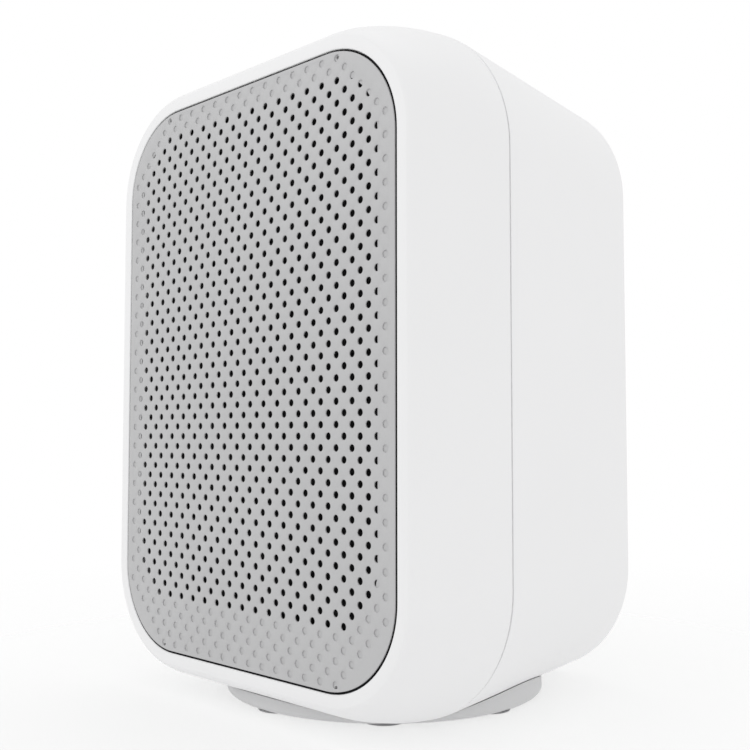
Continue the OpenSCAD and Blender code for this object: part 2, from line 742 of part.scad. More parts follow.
tweeter_lead_y = y_woofer_end - 2;
tweeter_lead_x = -34;
module tweeter_lead() color("goldenrod") union() {
    end = [-24, main_z - 12];
    bar_y(0, tweeter_z, lead_r, tweeter_cup_y + tweeter_cup_d + touch, tweeter_lead_y + lead_r);
    lead_run([
        [0, tweeter_z], [tweeter_lead_x, tweeter_z - 6], [tweeter_lead_x, main_z - 6], end
    ], lead_r, tweeter_lead_y);
    bar_y(end[0], end[1], lead_r, tweeter_lead_y + lead_r, y_board - board_t - touch);
}

// ---------- base ----------

disc_rise = 5.5;
disc_top = cab_bottom + disc_rise;
module base_disc() color("lightgray") difference() {
    union() {
        difference() {
            rotate_extrude() polygon([
                [0, foot_t], [base_dia / 2 - base_edge, foot_t], [base_dia / 2, foot_t + base_edge],
                [base_dia / 2, disc_top], [0, disc_top]
            ]);
            intersection() {
                union() {
                    front_form(-seat_gap, 0, split_d);
                    rear_form(-seat_gap, y_split - eps, y_rear, rear_edge);
                }
                translate([0, 0, cab_bottom + base_pocket]) cylinder(r = base_dia, h = disc_top);
            }
        }
        translate([0, 0, foot_t]) cylinder(r = hub_r, h = hub_top - foot_t);
    }
    for (p = base_screw_at) translate([p[0], p[1], 0]) {
        cylinder(r = 1.6, h = 10);
        cylinder(r = 2.9, h = foot_t + 2);
    }
}

module base_screws() color("silver") for (p = base_screw_at) translate([p[0], p[1], foot_t + 0.2]) {
    cylinder(r = 2.6, h = 1.8);
    cylinder(r = 1.25, h = 9);
}

feet = 8;
foot_ring = base_dia / 2 - foot_d / 2 - 0.4;
module rubber_feet() color("dimgray") for (i = [0 : feet - 1]) rotate(i * 360 / feet)
    translate([foot_ring, 0, 0]) cylinder(d = foot_d, h = foot_t);

// ---------- housing fasteners ----------

module housing_screws() color("silver") for (p = housing_screw_at) {
    bar_y(p[0], p[1], screw_head_r, y_frame + 0.1, y_frame + screw_head_t);
    bar_y(p[0], p[1], screw_r, y_frame + screw_head_t - eps, y_frame + housing_screw_l);
}

module housing_inserts() color("gold") for (p = housing_screw_at) difference() {
    bar_y(p[0], p[1], insert_r, y_baffle, y_baffle + insert_l);
    bar_y(p[0], p[1], screw_r, y_baffle - 1, y_baffle + insert_l + 1);
}

front_housing();
rear_shell();
seam_gasket();
grille_sheet();
grille_frame();
grille_cloth();
grille_seal();
grille_bushes();
baffle();
woofer_gasket();
woofer_basket();
woofer_top_plate();
woofer_magnet();
woofer_yoke();
woofer_screws();
woofer_terminal();
woofer_cone();
woofer_surround();
dust_cap();
woofer_spider();
voice_coil();
tweeter_plate();
tweeter_magnet();
tweeter_screws();
tweeter_dome();
tweeter_coil();
microphone_boards();
microphone_seals();
main_board();
shield_can();
antennas();
power_board();
transformer();
capacitors();
heat_sink();
power_inlet();
inlet_pins();
reset_switch();
reset_button();
button_board();
button_switches();
volume_down_button();
action_button();
volume_up_button();
light_guide();
damping_pads();
woofer_lead();
tweeter_lead();
board_ribbon();
base_disc();
rubber_feet();
base_screws();
housing_screws();
housing_inserts();
board_screws();
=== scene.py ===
"""Smart speaker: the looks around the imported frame."""
import json
import math

import bmesh
import bpy
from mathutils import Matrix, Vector


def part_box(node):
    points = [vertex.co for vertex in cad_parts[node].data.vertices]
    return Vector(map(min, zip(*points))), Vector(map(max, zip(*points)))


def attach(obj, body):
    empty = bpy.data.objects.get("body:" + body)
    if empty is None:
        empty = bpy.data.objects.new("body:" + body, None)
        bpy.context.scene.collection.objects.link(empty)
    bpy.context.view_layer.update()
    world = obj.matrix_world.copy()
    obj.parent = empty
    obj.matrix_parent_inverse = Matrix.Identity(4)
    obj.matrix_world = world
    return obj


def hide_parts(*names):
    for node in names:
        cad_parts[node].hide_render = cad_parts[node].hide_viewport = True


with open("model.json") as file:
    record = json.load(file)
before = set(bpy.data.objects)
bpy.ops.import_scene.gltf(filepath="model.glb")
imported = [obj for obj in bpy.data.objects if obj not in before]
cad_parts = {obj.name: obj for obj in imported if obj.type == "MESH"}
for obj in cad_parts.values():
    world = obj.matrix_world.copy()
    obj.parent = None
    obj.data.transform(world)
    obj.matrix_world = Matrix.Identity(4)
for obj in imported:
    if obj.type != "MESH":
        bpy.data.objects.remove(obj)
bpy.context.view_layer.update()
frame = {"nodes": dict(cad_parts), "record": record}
record = frame["record"]
nodes = frame["nodes"]
MM = 0.001
ALONG_Y = (0, 1, 0)
ALONG_Z = (0, 0, 1)

# ---------- sizes, from the frame ----------
front_lo, front_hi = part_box("front_housing")
rear_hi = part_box("rear_shell")[1]
sheet_lo, sheet_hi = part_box("grille_sheet")
cloth_lo, cloth_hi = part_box("grille_cloth")
baffle_lo, baffle_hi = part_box("baffle")
disc_lo, disc_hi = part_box("base_disc")
inlet_lo, inlet_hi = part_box("power_inlet")
reset_lo, reset_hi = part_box("reset_button")
guide_lo, guide_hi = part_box("light_guide")
seam_lo, seam_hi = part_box("seam_gasket")

CAB_W = front_hi.x - front_lo.x
CAB_H = front_hi.z - front_lo.z
MID_Z = (front_hi.z + front_lo.z) / 2
TOP_Z = front_hi.z
BOTTOM_Z = front_lo.z
Y_FRONT = front_lo.y
Y_REAR = rear_hi.y
Y_SEAM_FRONT = seam_lo.y
Y_SEAM_REAR = seam_hi.y
Y_SPLIT = (seam_lo.y + seam_hi.y) / 2
SPLIT_D = Y_SPLIT - Y_FRONT
GRILLE_W = sheet_hi.x - sheet_lo.x
GRILLE_H = sheet_hi.z - sheet_lo.z
SHEET_T = sheet_hi.y - sheet_lo.y
Y_PANEL_BACK = cloth_lo.y
Y_LEDGE = baffle_lo.y
WALL = 3 * MM
CORNER_R = 32 * MM
REAR_W = 91 * MM
REAR_R = 30 * MM
GRILLE_R = 21 * MM
GRILLE_GAP = 0.5 * MM
RIM_OUT = GRILLE_GAP + 2.7 * MM
FLARE_POWER = 1.6
OPEN_W = cloth_hi.x - cloth_lo.x
OPEN_LO = cloth_lo.z
OPEN_HI = cloth_hi.z
OPEN_R = 15.2 * MM
RIM_HALF_W = GRILLE_W / 2 + RIM_OUT
RIM_HALF_H = GRILLE_H / 2 + RIM_OUT
RIM_R = GRILLE_R + RIM_OUT
DISC_R = (disc_hi.x - disc_lo.x) / 2
POCKET = 1 * MM
SEAT_GAP = 0.1 * MM


def flare(d):
    """Share of the way from the rim to the parting line's outline, at depth d."""
    left = max(0.0, 1 - d / SPLIT_D)
    return (1 - left ** FLARE_POWER) ** (1 / FLARE_POWER)


def front_outline(d):
    """Half width, half height and corner radius of the front housing at depth d."""
    share = flare(d)
    return (
        RIM_HALF_W + (CAB_W / 2 - RIM_HALF_W) * share,
        RIM_HALF_H + (CAB_H / 2 - RIM_HALF_H) * share,
        RIM_R + (CORNER_R - RIM_R) * share,
    )


def rear_outline(y):
    """Half width, half height and corner radius of the rear shell at place y."""
    share = (y - Y_SPLIT) / (Y_REAR - Y_SPLIT)
    return CAB_W / 2 + (REAR_W - CAB_W) / 2 * share, CAB_H / 2, CORNER_R + (REAR_R - CORNER_R) * share


# ---------- mesh helpers ----------
CORNER_STEPS = 24
SIDE_STEPS = 6


def rounded_loop(half_w, half_h, r, corner_steps=CORNER_STEPS, side_steps=SIDE_STEPS):
    """Points of a rounded rectangle, the same number whatever its size."""
    points = []
    centres = [(1, 1), (-1, 1), (-1, -1), (1, -1)]
    for k, (sx, sz) in enumerate(centres):
        cx = sx * (half_w - r)
        cz = sz * (half_h - r)
        for i in range(corner_steps + 1):
            a = math.pi / 2 * (k + i / corner_steps)
            points.append((cx + r * math.cos(a), cz + r * math.sin(a)))
        nx, nz = centres[(k + 1) % 4]
        a = math.pi / 2 * (k + 1)
        here = points[-1]
        there = (nx * (half_w - r) + r * math.cos(a), nz * (half_h - r) + r * math.sin(a))
        for i in range(1, side_steps):
            t = i / side_steps
            points.append((here[0] + (there[0] - here[0]) * t, here[1] + (there[1] - here[1]) * t))
    return points


def ring(y, half_w, half_h, r, z=MID_Z, steps=CORNER_STEPS):
    """A rounded rectangle that stands across the cabinet at depth y."""
    return [Vector((x, y, z + v)) for x, v in rounded_loop(half_w, half_h, r, steps)]


def new_object(name, mesh):
    """An object at the origin that holds this mesh."""
    made = bpy.data.objects.new(name, mesh)
    bpy.context.scene.collection.objects.link(made)
    return made


def shade(piece, angle=35):
    """Smooth faces, with edges kept sharp where they meet at more than this angle."""
    piece.data.shade_smooth()
    piece.data.set_sharp_from_angle(angle=math.radians(angle))
    return piece


def finish_mesh(name, bm, merge=1e-6, angle=35):
    """Merge doubles, turn all faces outwards and make an object of it."""
    bmesh.ops.remove_doubles(bm, verts=bm.verts, dist=merge)
    bmesh.ops.recalc_face_normals(bm, faces=bm.faces)
    mesh = bpy.data.meshes.new(name)
    bm.to_mesh(mesh)
    bm.free()
    return shade(new_object(name, mesh), angle)


def loft(bm, rings, around=True, first_cap=False, last_cap=False, closed=False):
    """Faces between rings of equally many points."""
    rows = [[bm.verts.new(p) for p in points] for points in rings]
    count = len(rows[0])
    pairs = list(zip(rows, rows[1:]))
    if closed:
        pairs.append((rows[-1], rows[0]))
    last = count if around else count - 1
    for a, b in pairs:
        for i in range(last):
            j = (i + 1) % count
            bm.faces.new((a[i], a[j], b[j], b[i]))
    if first_cap:
        bm.faces.new(list(reversed(rows[0])))
    if last_cap:
        bm.faces.new(rows[-1])
    return rows


def turned_rings(profile, place, axis, steps=48):
    """Rings of a profile of (radius, height) turned about an axis through place."""
    turn = Vector((0, 0, 1)).rotation_difference(Vector(axis)).to_matrix()
    rings = []
    for r, h in profile:
        points = []
        for i in range(steps):
            a = 2 * math.pi * i / steps
            points.append(Vector(place) + turn @ Vector((r * math.cos(a), r * math.sin(a), h)))
        rings.append(points)
    return rings


def add_turned(bm, profile, place, axis, steps=48):
    """A closed turned solid, its profile from the low end to the high end."""
    loft(bm, turned_rings(profile, place, axis, steps), first_cap=True, last_cap=True)


def straight(r, low, high):
    """Profile of a plain cylinder."""
    return [(r, low), (r, high)]


def fillet(r_wall, h_top, r_edge, steps=4):
    """Profile points that round the edge between a wall and the top above it."""
    out = []
    for i in range(steps + 1):
        a = math.pi / 2 * i / steps
        out.append((r_wall - r_edge * (1 - math.cos(a)), h_top - r_edge * (1 - math.sin(a))))
    return out


def boolean(piece, cutter, operation):
    """Apply one boolean step to a piece, and remove the other solid."""
    step = piece.modifiers.new("step", "BOOLEAN")
    step.operation = operation
    step.solver = "MANIFOLD"
    step.object = cutter
    bpy.context.view_layer.update()
    result = bpy.data.meshes.new_from_object(piece.evaluated_get(bpy.context.evaluated_depsgraph_get()))
    piece.modifiers.clear()
    piece.data = result
    bpy.data.objects.remove(cutter)
    return piece


# ---------- node helpers ----------
class Value:
    """A socket whose value varies; arithmetic on it adds Math nodes."""

    def __init__(self, nodes_of, socket):
        self.nodes_of = nodes_of
        self.socket = socket

    def do(self, operation, *others):
        """One Math node on this value and the others."""
        values = dict(enumerate((self,) + others))
        return self.nodes_of.node("ShaderNodeMath", {"operation": operation}, values)

    def __add__(self, other):
        return self.do("ADD", other)

    __radd__ = __add__

    def __sub__(self, other):
        return self.do("SUBTRACT", other)

    def __rsub__(self, other):
        return (self * -1).do("ADD", other)

    def __mul__(self, other):
        return self.do("MULTIPLY", other)

    __rmul__ = __mul__

    def __truediv__(self, other):
        return self.do("DIVIDE", other)


class Nodes:
    """Adds nodes to a tree: one method takes a node's type, settings and socket values."""

    def __init__(self, tree):
        self.tree = tree

    def node(self, kind, settings=None, values=None, out=0):
        """Add one node and give its output, by number or identifier."""
        made = self.tree.nodes.new(kind)
        for name, setting in (settings or {}).items():
            if name == "stops":
                ramp = made.color_ramp
                while len(ramp.elements) < len(setting):
                    ramp.elements.new(0.5)
                for stop, (place, colour) in zip(ramp.elements, setting):
                    stop.position = place
                    stop.color = (colour, colour, colour, 1) if isinstance(colour, float) else colour
            else:
                setattr(made, name, setting)
        for name, value in (values or {}).items():
            self.put(self.pick(made.inputs, name), value)
        return Value(self, self.pick(made.outputs, out))

    def pick(self, sockets, name):
        """A socket by number, identifier or name."""
        if isinstance(name, int):
            return sockets[name]
        for socket in sockets:
            if socket.identifier == name:
                return socket
        return sockets[name]

    def put(self, socket, value):
        """Link a value to a socket, or set the socket to a plain number or colour."""
        for one in value if isinstance(value, list) else [value]:
            if isinstance(one, Value):
                self.tree.links.new(one.socket, socket)
            else:
                socket.default_value = one


class Finish(Nodes):
    """A material, built from the surface's own coordinates."""

    def __init__(self, name):
        self.material = bpy.data.materials.new(name)
        self.material.use_nodes = True
        super().__init__(self.material.node_tree)
        self.tree.nodes.clear()
        self.place = self.node("ShaderNodeTexCoord", out="Object")

    def noise(self, size, detail=3, rough=0.55, stretch=(1, 1, 1), out="Fac"):
        """Noise with a grain of this size, in metres."""
        at = self.node("ShaderNodeMapping", None, {"Vector": self.place, "Scale": stretch})
        return self.node(
            "ShaderNodeTexNoise", None,
            {"Vector": at, "Scale": 1 / size, "Detail": detail, "Roughness": rough}, out,
        )

    def remap(self, value, low, high, to_low=0.0, to_high=1.0):
        """Spread a value from one range onto another, with its ends held."""
        return self.node(
            "ShaderNodeMapRange", {"clamp": True},
            {"Value": value, "From Min": low, "From Max": high, "To Min": to_low, "To Max": to_high},
        )

    def mix(self, share, a, b):
        """One colour turning into another."""
        return self.node(
            "ShaderNodeMix", {"data_type": "RGBA"},
            {"Factor_Float": share, "A_Color": a, "B_Color": b}, "Result_Color",
        )

    def bump(self, height, distance, strength=1.0):
        """A bump of this height in metres."""
        values = {"Height": height, "Distance": distance, "Strength": strength}
        return self.node("ShaderNodeBump", None, values)

    def close(self, **values):
        """The surface shader and the material's output."""
        named = {name.replace("_", " "): value for name, value in values.items()}
        surface = self.node("ShaderNodeBsdfPrincipled", None, named)
        last = self.tree.nodes.new("ShaderNodeOutputMaterial")
        self.tree.links.new(surface.socket, last.inputs["Surface"])
        return self.material


def rgb(colour, scale=1.0):
    """A colour with its fourth number, made lighter or darker."""
    return tuple(min(1.0, c * scale) for c in colour[:3]) + (1.0,)


# ---------- materials ----------
def moulded(name, colour, rough=0.45, grain=0.35 * MM, depth=0.012 * MM, spread=0.03, coat=0.0):
    """Moulded plastic with a fine spark-eroded texture and faint flow marks."""
    f = Finish(name)
    fine = f.noise(grain, 2, 0.5)
    cloud = f.noise(35 * MM, 2, 0.5)
    shade_of = f.remap(cloud, 0.3, 0.7)
    colour_of = f.mix(shade_of, rgb(colour, 1 - spread), rgb(colour, 1 + spread))
    rough_of = f.remap(fine * 0.6 + cloud * 0.4, 0.3, 0.7, rough - 0.05, rough + 0.06)
    return f.close(
        Base_Color=colour_of, Roughness=rough_of, Normal=f.bump(fine, depth), Coat_Weight=coat, IOR=1.48,
    )


def painted(name, colour, rough=0.38, metallic=0.0, peel=0.9 * MM, depth=0.008 * MM):
    """Sprayed paint on metal, with a slight orange peel and fine flake."""
    f = Finish(name)
    peel_of = f.noise(peel, 2, 0.4)
    flake = f.noise(0.12 * MM, 1, 0.5)
    cloud = f.noise(28 * MM, 2, 0.5)
    colour_of = f.mix(f.remap(flake * 0.7 + cloud * 0.3, 0.3, 0.7), rgb(colour, 0.95), rgb(colour, 1.05))
    rough_of = f.remap(flake, 0.3, 0.7, rough - 0.04, rough + 0.06)
    return f.close(
        Base_Color=colour_of, Roughness=rough_of, Metallic=metallic, Normal=f.bump(peel_of, depth),
    )


def rubber(name, colour, rough=0.75, gloss=0.5):
    """Rubber with a dusty, slightly pitted skin."""
    f = Finish(name)
    pits = f.noise(0.25 * MM, 3, 0.6)
    dust = f.noise(6 * MM, 3, 0.6)
    colour_of = f.mix(f.remap(dust, 0.4, 0.75), rgb(colour), rgb(colour, 1.5))
    return f.close(
        Base_Color=colour_of, Roughness=f.remap(pits, 0.3, 0.7, rough - 0.08, rough + 0.1),
        Normal=f.bump(pits, 0.03 * MM), Specular_IOR_Level=gloss,
    )


def bare_metal(name, colour, rough=0.3, stretch=(1, 1, 14), grain=0.5 * MM):
    """Plated or drawn metal with fine lines and darker stains."""
    f = Finish(name)
    lines = f.noise(grain * 8, 3, 0.6, stretch)
    stain = f.noise(5 * MM, 4, 0.6)
    colour_of = f.mix(f.remap(stain, 0.35, 0.7), rgb(colour), rgb(colour, 0.8))
    rough_of = f.remap(lines * 0.7 + stain * 0.3, 0.3, 0.7, rough - 0.08, rough + 0.14)
    return f.close(Base_Color=colour_of, Roughness=rough_of, Metallic=1.0, Normal=f.bump(lines, 0.01 * MM))


def woven(name, colour, thread=0.35 * MM, rough=0.85, plane="xz", depth=0.08 * MM):
    """Plain weave: threads that pass over and under each other, with painted shade in the hollows between
    them and painted light on their crowns.
    """
    f = Finish(name)
    parts = f.node("ShaderNodeSeparateXYZ", None, {"Vector": f.place}, "X")
    split = parts.socket.node
    first = Value(f, split.outputs[plane[0].upper()])
    second = Value(f, split.outputs[plane[1].upper()])
    turn = math.pi / thread
    warp = (first * turn).do("SINE")
    weft = (second * turn).do("SINE")
    height = (warp * weft) * 0.5 + 0.5
    fuzz = f.noise(0.2 * MM, 3, 0.6)
    # Colour follows the weave height: painted shade in the hollows between threads and painted light on the
    # crowns, mixed with random fuzz tone.
    colour_of = f.mix(f.remap(height * 0.7 + fuzz * 0.3, 0.1, 0.9), rgb(colour, 0.6), rgb(colour, 1.25))
    return f.close(
        Base_Color=colour_of, Roughness=f.remap(fuzz, 0.2, 0.8, rough - 0.08, rough + 0.08),
        Normal=f.bump(height * 0.8 + fuzz * 0.2, depth),
    )


def felt(name, colour):
    """Loose felt: matted fibres."""
    f = Finish(name)
    fibre = f.noise(0.4 * MM, 5, 0.7, (1, 1, 3))
    tuft = f.noise(3 * MM, 3, 0.6)
    colour_of = f.mix(f.remap(fibre * 0.6 + tuft * 0.4, 0.3, 0.7), rgb(colour, 0.6), rgb(colour, 1.3))
    return f.close(
        Base_Color=colour_of, Roughness=f.remap(fibre, 0.3, 0.7, 0.85, 1.0), Normal=f.bump(fibre, 0.2 * MM),
    )


def circuit(name, colour, track=(0.25, 0.45, 0.12)):
    """Circuit board: lacquer over tracks, with tinned pads."""
    f = Finish(name)
    turned = f.node("ShaderNodeMapping", None, {"Vector": f.place, "Rotation": (math.pi / 2, 0, 0)})
    tracks = f.node(
        "ShaderNodeTexBrick", {"offset": 0.37, "squash": 0.7},
        {"Vector": turned, "Scale": 180.0, "Mortar Size": 0.05, "Color1": rgb((0, 0, 0)),
         "Color2": rgb((0, 0, 0)), "Mortar": rgb((1, 1, 1))}, "Fac",
    )
    spots = f.node(
        "ShaderNodeTexVoronoi", {"feature": "F1"}, {"Vector": turned, "Scale": 320.0}, "Distance",
    )
    pad = f.remap(spots, 0.16, 0.2, 1.0, 0.0)
    lacquer = f.mix(tracks, rgb(colour), rgb(track))
    colour_of = f.mix(pad, lacquer, rgb((0.7, 0.7, 0.66)))
    return f.close(
        Base_Color=colour_of, Roughness=f.remap(pad, 0, 1, 0.35, 0.25), Metallic=pad * 0.9,
        Normal=f.bump(tracks + pad, 0.03 * MM),
    )


def winding(name, colour, pitch=0.25 * MM):
    """Enamelled wire, wound in close turns along the depth, with painted shade in the grooves between turns
    and painted light on their crowns.
    """
    f = Finish(name)
    split = f.node("ShaderNodeSeparateXYZ", None, {"Vector": f.place}, "Y")
    turns = (split * (2 * math.pi / pitch)).do("SINE") * 0.5 + 0.5
    stain = f.noise(4 * MM, 3, 0.6)
    # Colour follows the turns: painted shade in the grooves between turns and painted light on their
    # crowns, mixed with random stain tone.
    colour_of = f.mix(turns * 0.7 + stain * 0.3, rgb(colour, 0.5), rgb(colour, 1.2))
    return f.close(
        Base_Color=colour_of, Roughness=f.remap(stain, 0.3, 0.7, 0.22, 0.4), Metallic=0.85,
        Normal=f.bump(turns, 0.06 * MM),
    )


def pulp(name, colour):
    """Pressed paper pulp with visible fibres."""
    f = Finish(name)
    fibre = f.noise(0.8 * MM, 5, 0.7, (1, 1, 1))
    speck = f.noise(0.25 * MM, 2, 0.5)
    colour_of = f.mix(f.remap(fibre, 0.35, 0.7), rgb(colour), rgb(colour, 2.0))
    return f.close(
        Base_Color=colour_of, Roughness=f.remap(speck, 0.3, 0.7, 0.7, 0.9), Normal=f.bump(fibre, 0.08 * MM),
    )


def clear(name, colour):
    """Clear moulded plastic, faintly clouded."""
    f = Finish(name)
    cloud = f.noise(2 * MM, 2, 0.5)
    return f.close(
        Base_Color=f.mix(f.remap(cloud, 0.3, 0.7), rgb(colour), rgb(colour, 0.94)),
        Roughness=f.remap(cloud, 0.3, 0.7, 0.08, 0.2), Transmission_Weight=0.6, IOR=1.49,
        Normal=f.bump(cloud, 0.01 * MM),
    )


slot_finish = {
    "white_shell": moulded("white_shell", (0.84, 0.84, 0.845), rough=0.42, spread=0.006),
    # Seal rubber: a real seal, its near-black tone, darker than rubber is, is painted shade in the gaps it
    # lines.
    "seal_rubber": rubber("seal_rubber", (0.008, 0.008, 0.009), 0.85, 0.08),
    "grille_paint": painted("grille_paint", (0.50, 0.50, 0.505), rough=0.5, metallic=0.1),
    "grille_plastic": moulded("grille_plastic", (0.50, 0.50, 0.505), rough=0.5, spread=0.02),
    "acoustic_cloth": woven("acoustic_cloth", (0.022, 0.022, 0.023), thread=0.22 * MM),
    "black_plastic": moulded("black_plastic", (0.03, 0.03, 0.032), rough=0.4),
    "black_metal": painted("black_metal", (0.03, 0.03, 0.03), rough=0.45),
    "plated_steel": bare_metal("plated_steel", (0.62, 0.62, 0.6)),
    "ferrite": moulded(
        "ferrite", (0.08, 0.08, 0.085), rough=0.6, grain=0.6 * MM, depth=0.05 * MM, spread=0.2,
    ),
    "dark_screw": painted("dark_screw", (0.045, 0.045, 0.045), rough=0.35, metallic=0.6),
    "board_brown": circuit("board_brown", (0.35, 0.22, 0.1), (0.45, 0.28, 0.12)),
    "cone_paper": pulp("cone_paper", (0.035, 0.035, 0.04)),
    "surround_rubber": rubber("surround_rubber", (0.02, 0.02, 0.02), 0.55),
    "spider_cloth": woven("spider_cloth", (0.6, 0.42, 0.16), thread=0.6 * MM),
    "copper": winding("copper", (0.75, 0.3, 0.12)),
    "dome_silk": woven("dome_silk", (0.08, 0.08, 0.085), thread=0.15 * MM, rough=0.6, depth=0.02 * MM),
    "board_green": circuit("board_green", (0.02, 0.16, 0.06)),
    "transformer_tape": moulded("transformer_tape", (0.7, 0.58, 0.12), rough=0.3, grain=3 * MM, spread=0.1),
    "sink_aluminium": bare_metal("sink_aluminium", (0.75, 0.75, 0.77), 0.35, (1, 1, 0.1)),
    "inlet_plastic": moulded("inlet_plastic", (0.022, 0.022, 0.023), rough=0.38),
    "grey_plastic": moulded("grey_plastic", (0.38, 0.38, 0.39), rough=0.45),
    "clear_guide": clear("clear_guide", (0.85, 0.92, 0.95)),
    "damping_felt": felt("damping_felt", (0.3, 0.3, 0.31)),
    "lead_red": rubber("lead_red", (0.45, 0.04, 0.03), 0.45),
    "lead_yellow": rubber("lead_yellow", (0.6, 0.42, 0.05), 0.45),
    "ribbon_grey": rubber("ribbon_grey", (0.4, 0.42, 0.45), 0.5),
    "base_plastic": moulded("base_plastic", (0.60, 0.60, 0.605), rough=0.5, spread=0.02),
    "foot_rubber": rubber("foot_rubber", (0.22, 0.22, 0.225)),
    "plated_screw": bare_metal("plated_screw", (0.7, 0.7, 0.68), 0.25, (1, 1, 1)),
    "insert_brass": bare_metal("insert_brass", (0.8, 0.6, 0.25), 0.3),
}
slot_of = {part["node"]: part["material_slot"] for part in record["subparts"]}
for name, node_object in nodes.items():
    node_object.data.materials.clear()
    node_object.data.materials.append(slot_finish[slot_of[name]])


def place_piece(piece, body, slot_name, *replaced):
    """Give a piece its finish and its body, and let it stand for CAD nodes."""
    piece.data.materials.clear()
    piece.data.materials.append(slot_finish[slot_name])
    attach(piece, body)
    if replaced:
        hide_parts(*replaced)
    return piece


# ---------- geometry trees ----------
class Tree(Nodes):
    """A geometry tree with named sizes."""

    def __init__(self, name, sizes):
        super().__init__(bpy.data.node_groups.new(name, "GeometryNodeTree"))
        face = self.tree.interface
        face.new_socket("Geometry", in_out="INPUT", socket_type="NodeSocketGeometry")
        self.sizes = sizes
        for size, value in sizes.items():
            kind = "NodeSocketInt" if isinstance(value, int) else "NodeSocketFloat"
            face.new_socket(size, in_out="INPUT", socket_type=kind)
        face.new_socket("Geometry", in_out="OUTPUT", socket_type="NodeSocketGeometry")
        self.given = self.tree.nodes.new("NodeGroupInput")

    def size(self, name):
        """One of the tree's named sizes."""
        return Value(self, self.given.outputs[name])

    def geometry(self):
        """The mesh that the tree starts from."""
        return Value(self, self.given.outputs["Geometry"])

    def close(self, geometry, material):
        """Realise instances, set the material and end the tree."""
        real = self.node("GeometryNodeRealizeInstances", None, {"Geometry": geometry})
        done = self.node("GeometryNodeSetMaterial", None, {"Geometry": real, "Material": material})
        last = self.tree.nodes.new("NodeGroupOutput")
        self.tree.links.new(done.socket, last.inputs["Geometry"])

    def make(self, name, start):
        """Run the tree on a starting mesh and keep the result as a plain mesh."""
        holder = new_object(name + "_start", start)
        step = holder.modifiers.new("tree", "NODES")
        step.node_group = self.tree
        for item in self.tree.interface.items_tree:
            if item.item_type == "SOCKET" and item.in_out == "INPUT" and item.name in self.sizes:
                step[item.identifier] = self.sizes[item.name]
        bpy.context.view_layer.update()
        solved = holder.evaluated_get(bpy.context.evaluated_depsgraph_get())
        mesh = bpy.data.meshes.new_from_object(solved)
        mesh.name = name
        bpy.data.objects.remove(holder)
        return new_object(name, mesh)


def stood_up(tree, geometry, y, z):
    """A flat shape stood up so that it faces the front."""
    offset = tree.node("ShaderNodeCombineXYZ", None, {"Y": y, "Z": z})
    return tree.node(
        "GeometryNodeTransform", None,
        {"Geometry": geometry, "Translation": offset, "Rotation": (math.pi / 2, 0, 0)},
    )


def hole_points(tree):
    """Points of the square field that is turned by 45 degrees, with its corners cut."""
    half = tree.size("Pitch") / 2
    columns = tree.size("Columns")
    rows = tree.size("Rows")
    grid = tree.node(
        "GeometryNodeMeshGrid", None,
        {"Size X": columns * tree.size("Pitch"), "Size Y": rows * tree.size("Pitch"),
         "Vertices X": columns * 2 + 1, "Vertices Y": rows * 2 + 1}, "Mesh",
    )
    place = tree.node("GeometryNodeInputPosition")
    split = tree.node("ShaderNodeSeparateXYZ", None, {"Vector": place}, "X").socket.node
    i = (Value(tree, split.outputs["X"]) / half).do("ROUND")
    j = (Value(tree, split.outputs["Y"]) / half).do("ROUND")
    odd = (i + j).do("ABSOLUTE").do("MODULO", 2).do("GREATER_THAN", 0.5)
    outside = (i.do("ABSOLUTE") + j.do("ABSOLUTE")).do("GREATER_THAN", tree.size("Corner Cut") + 0.5)
    return tree.node(
        "GeometryNodeDeleteGeometry", {"domain": "POINT"},
        {"Geometry": grid, "Selection": (odd + outside).do("GREATER_THAN", 0.5)},
    )


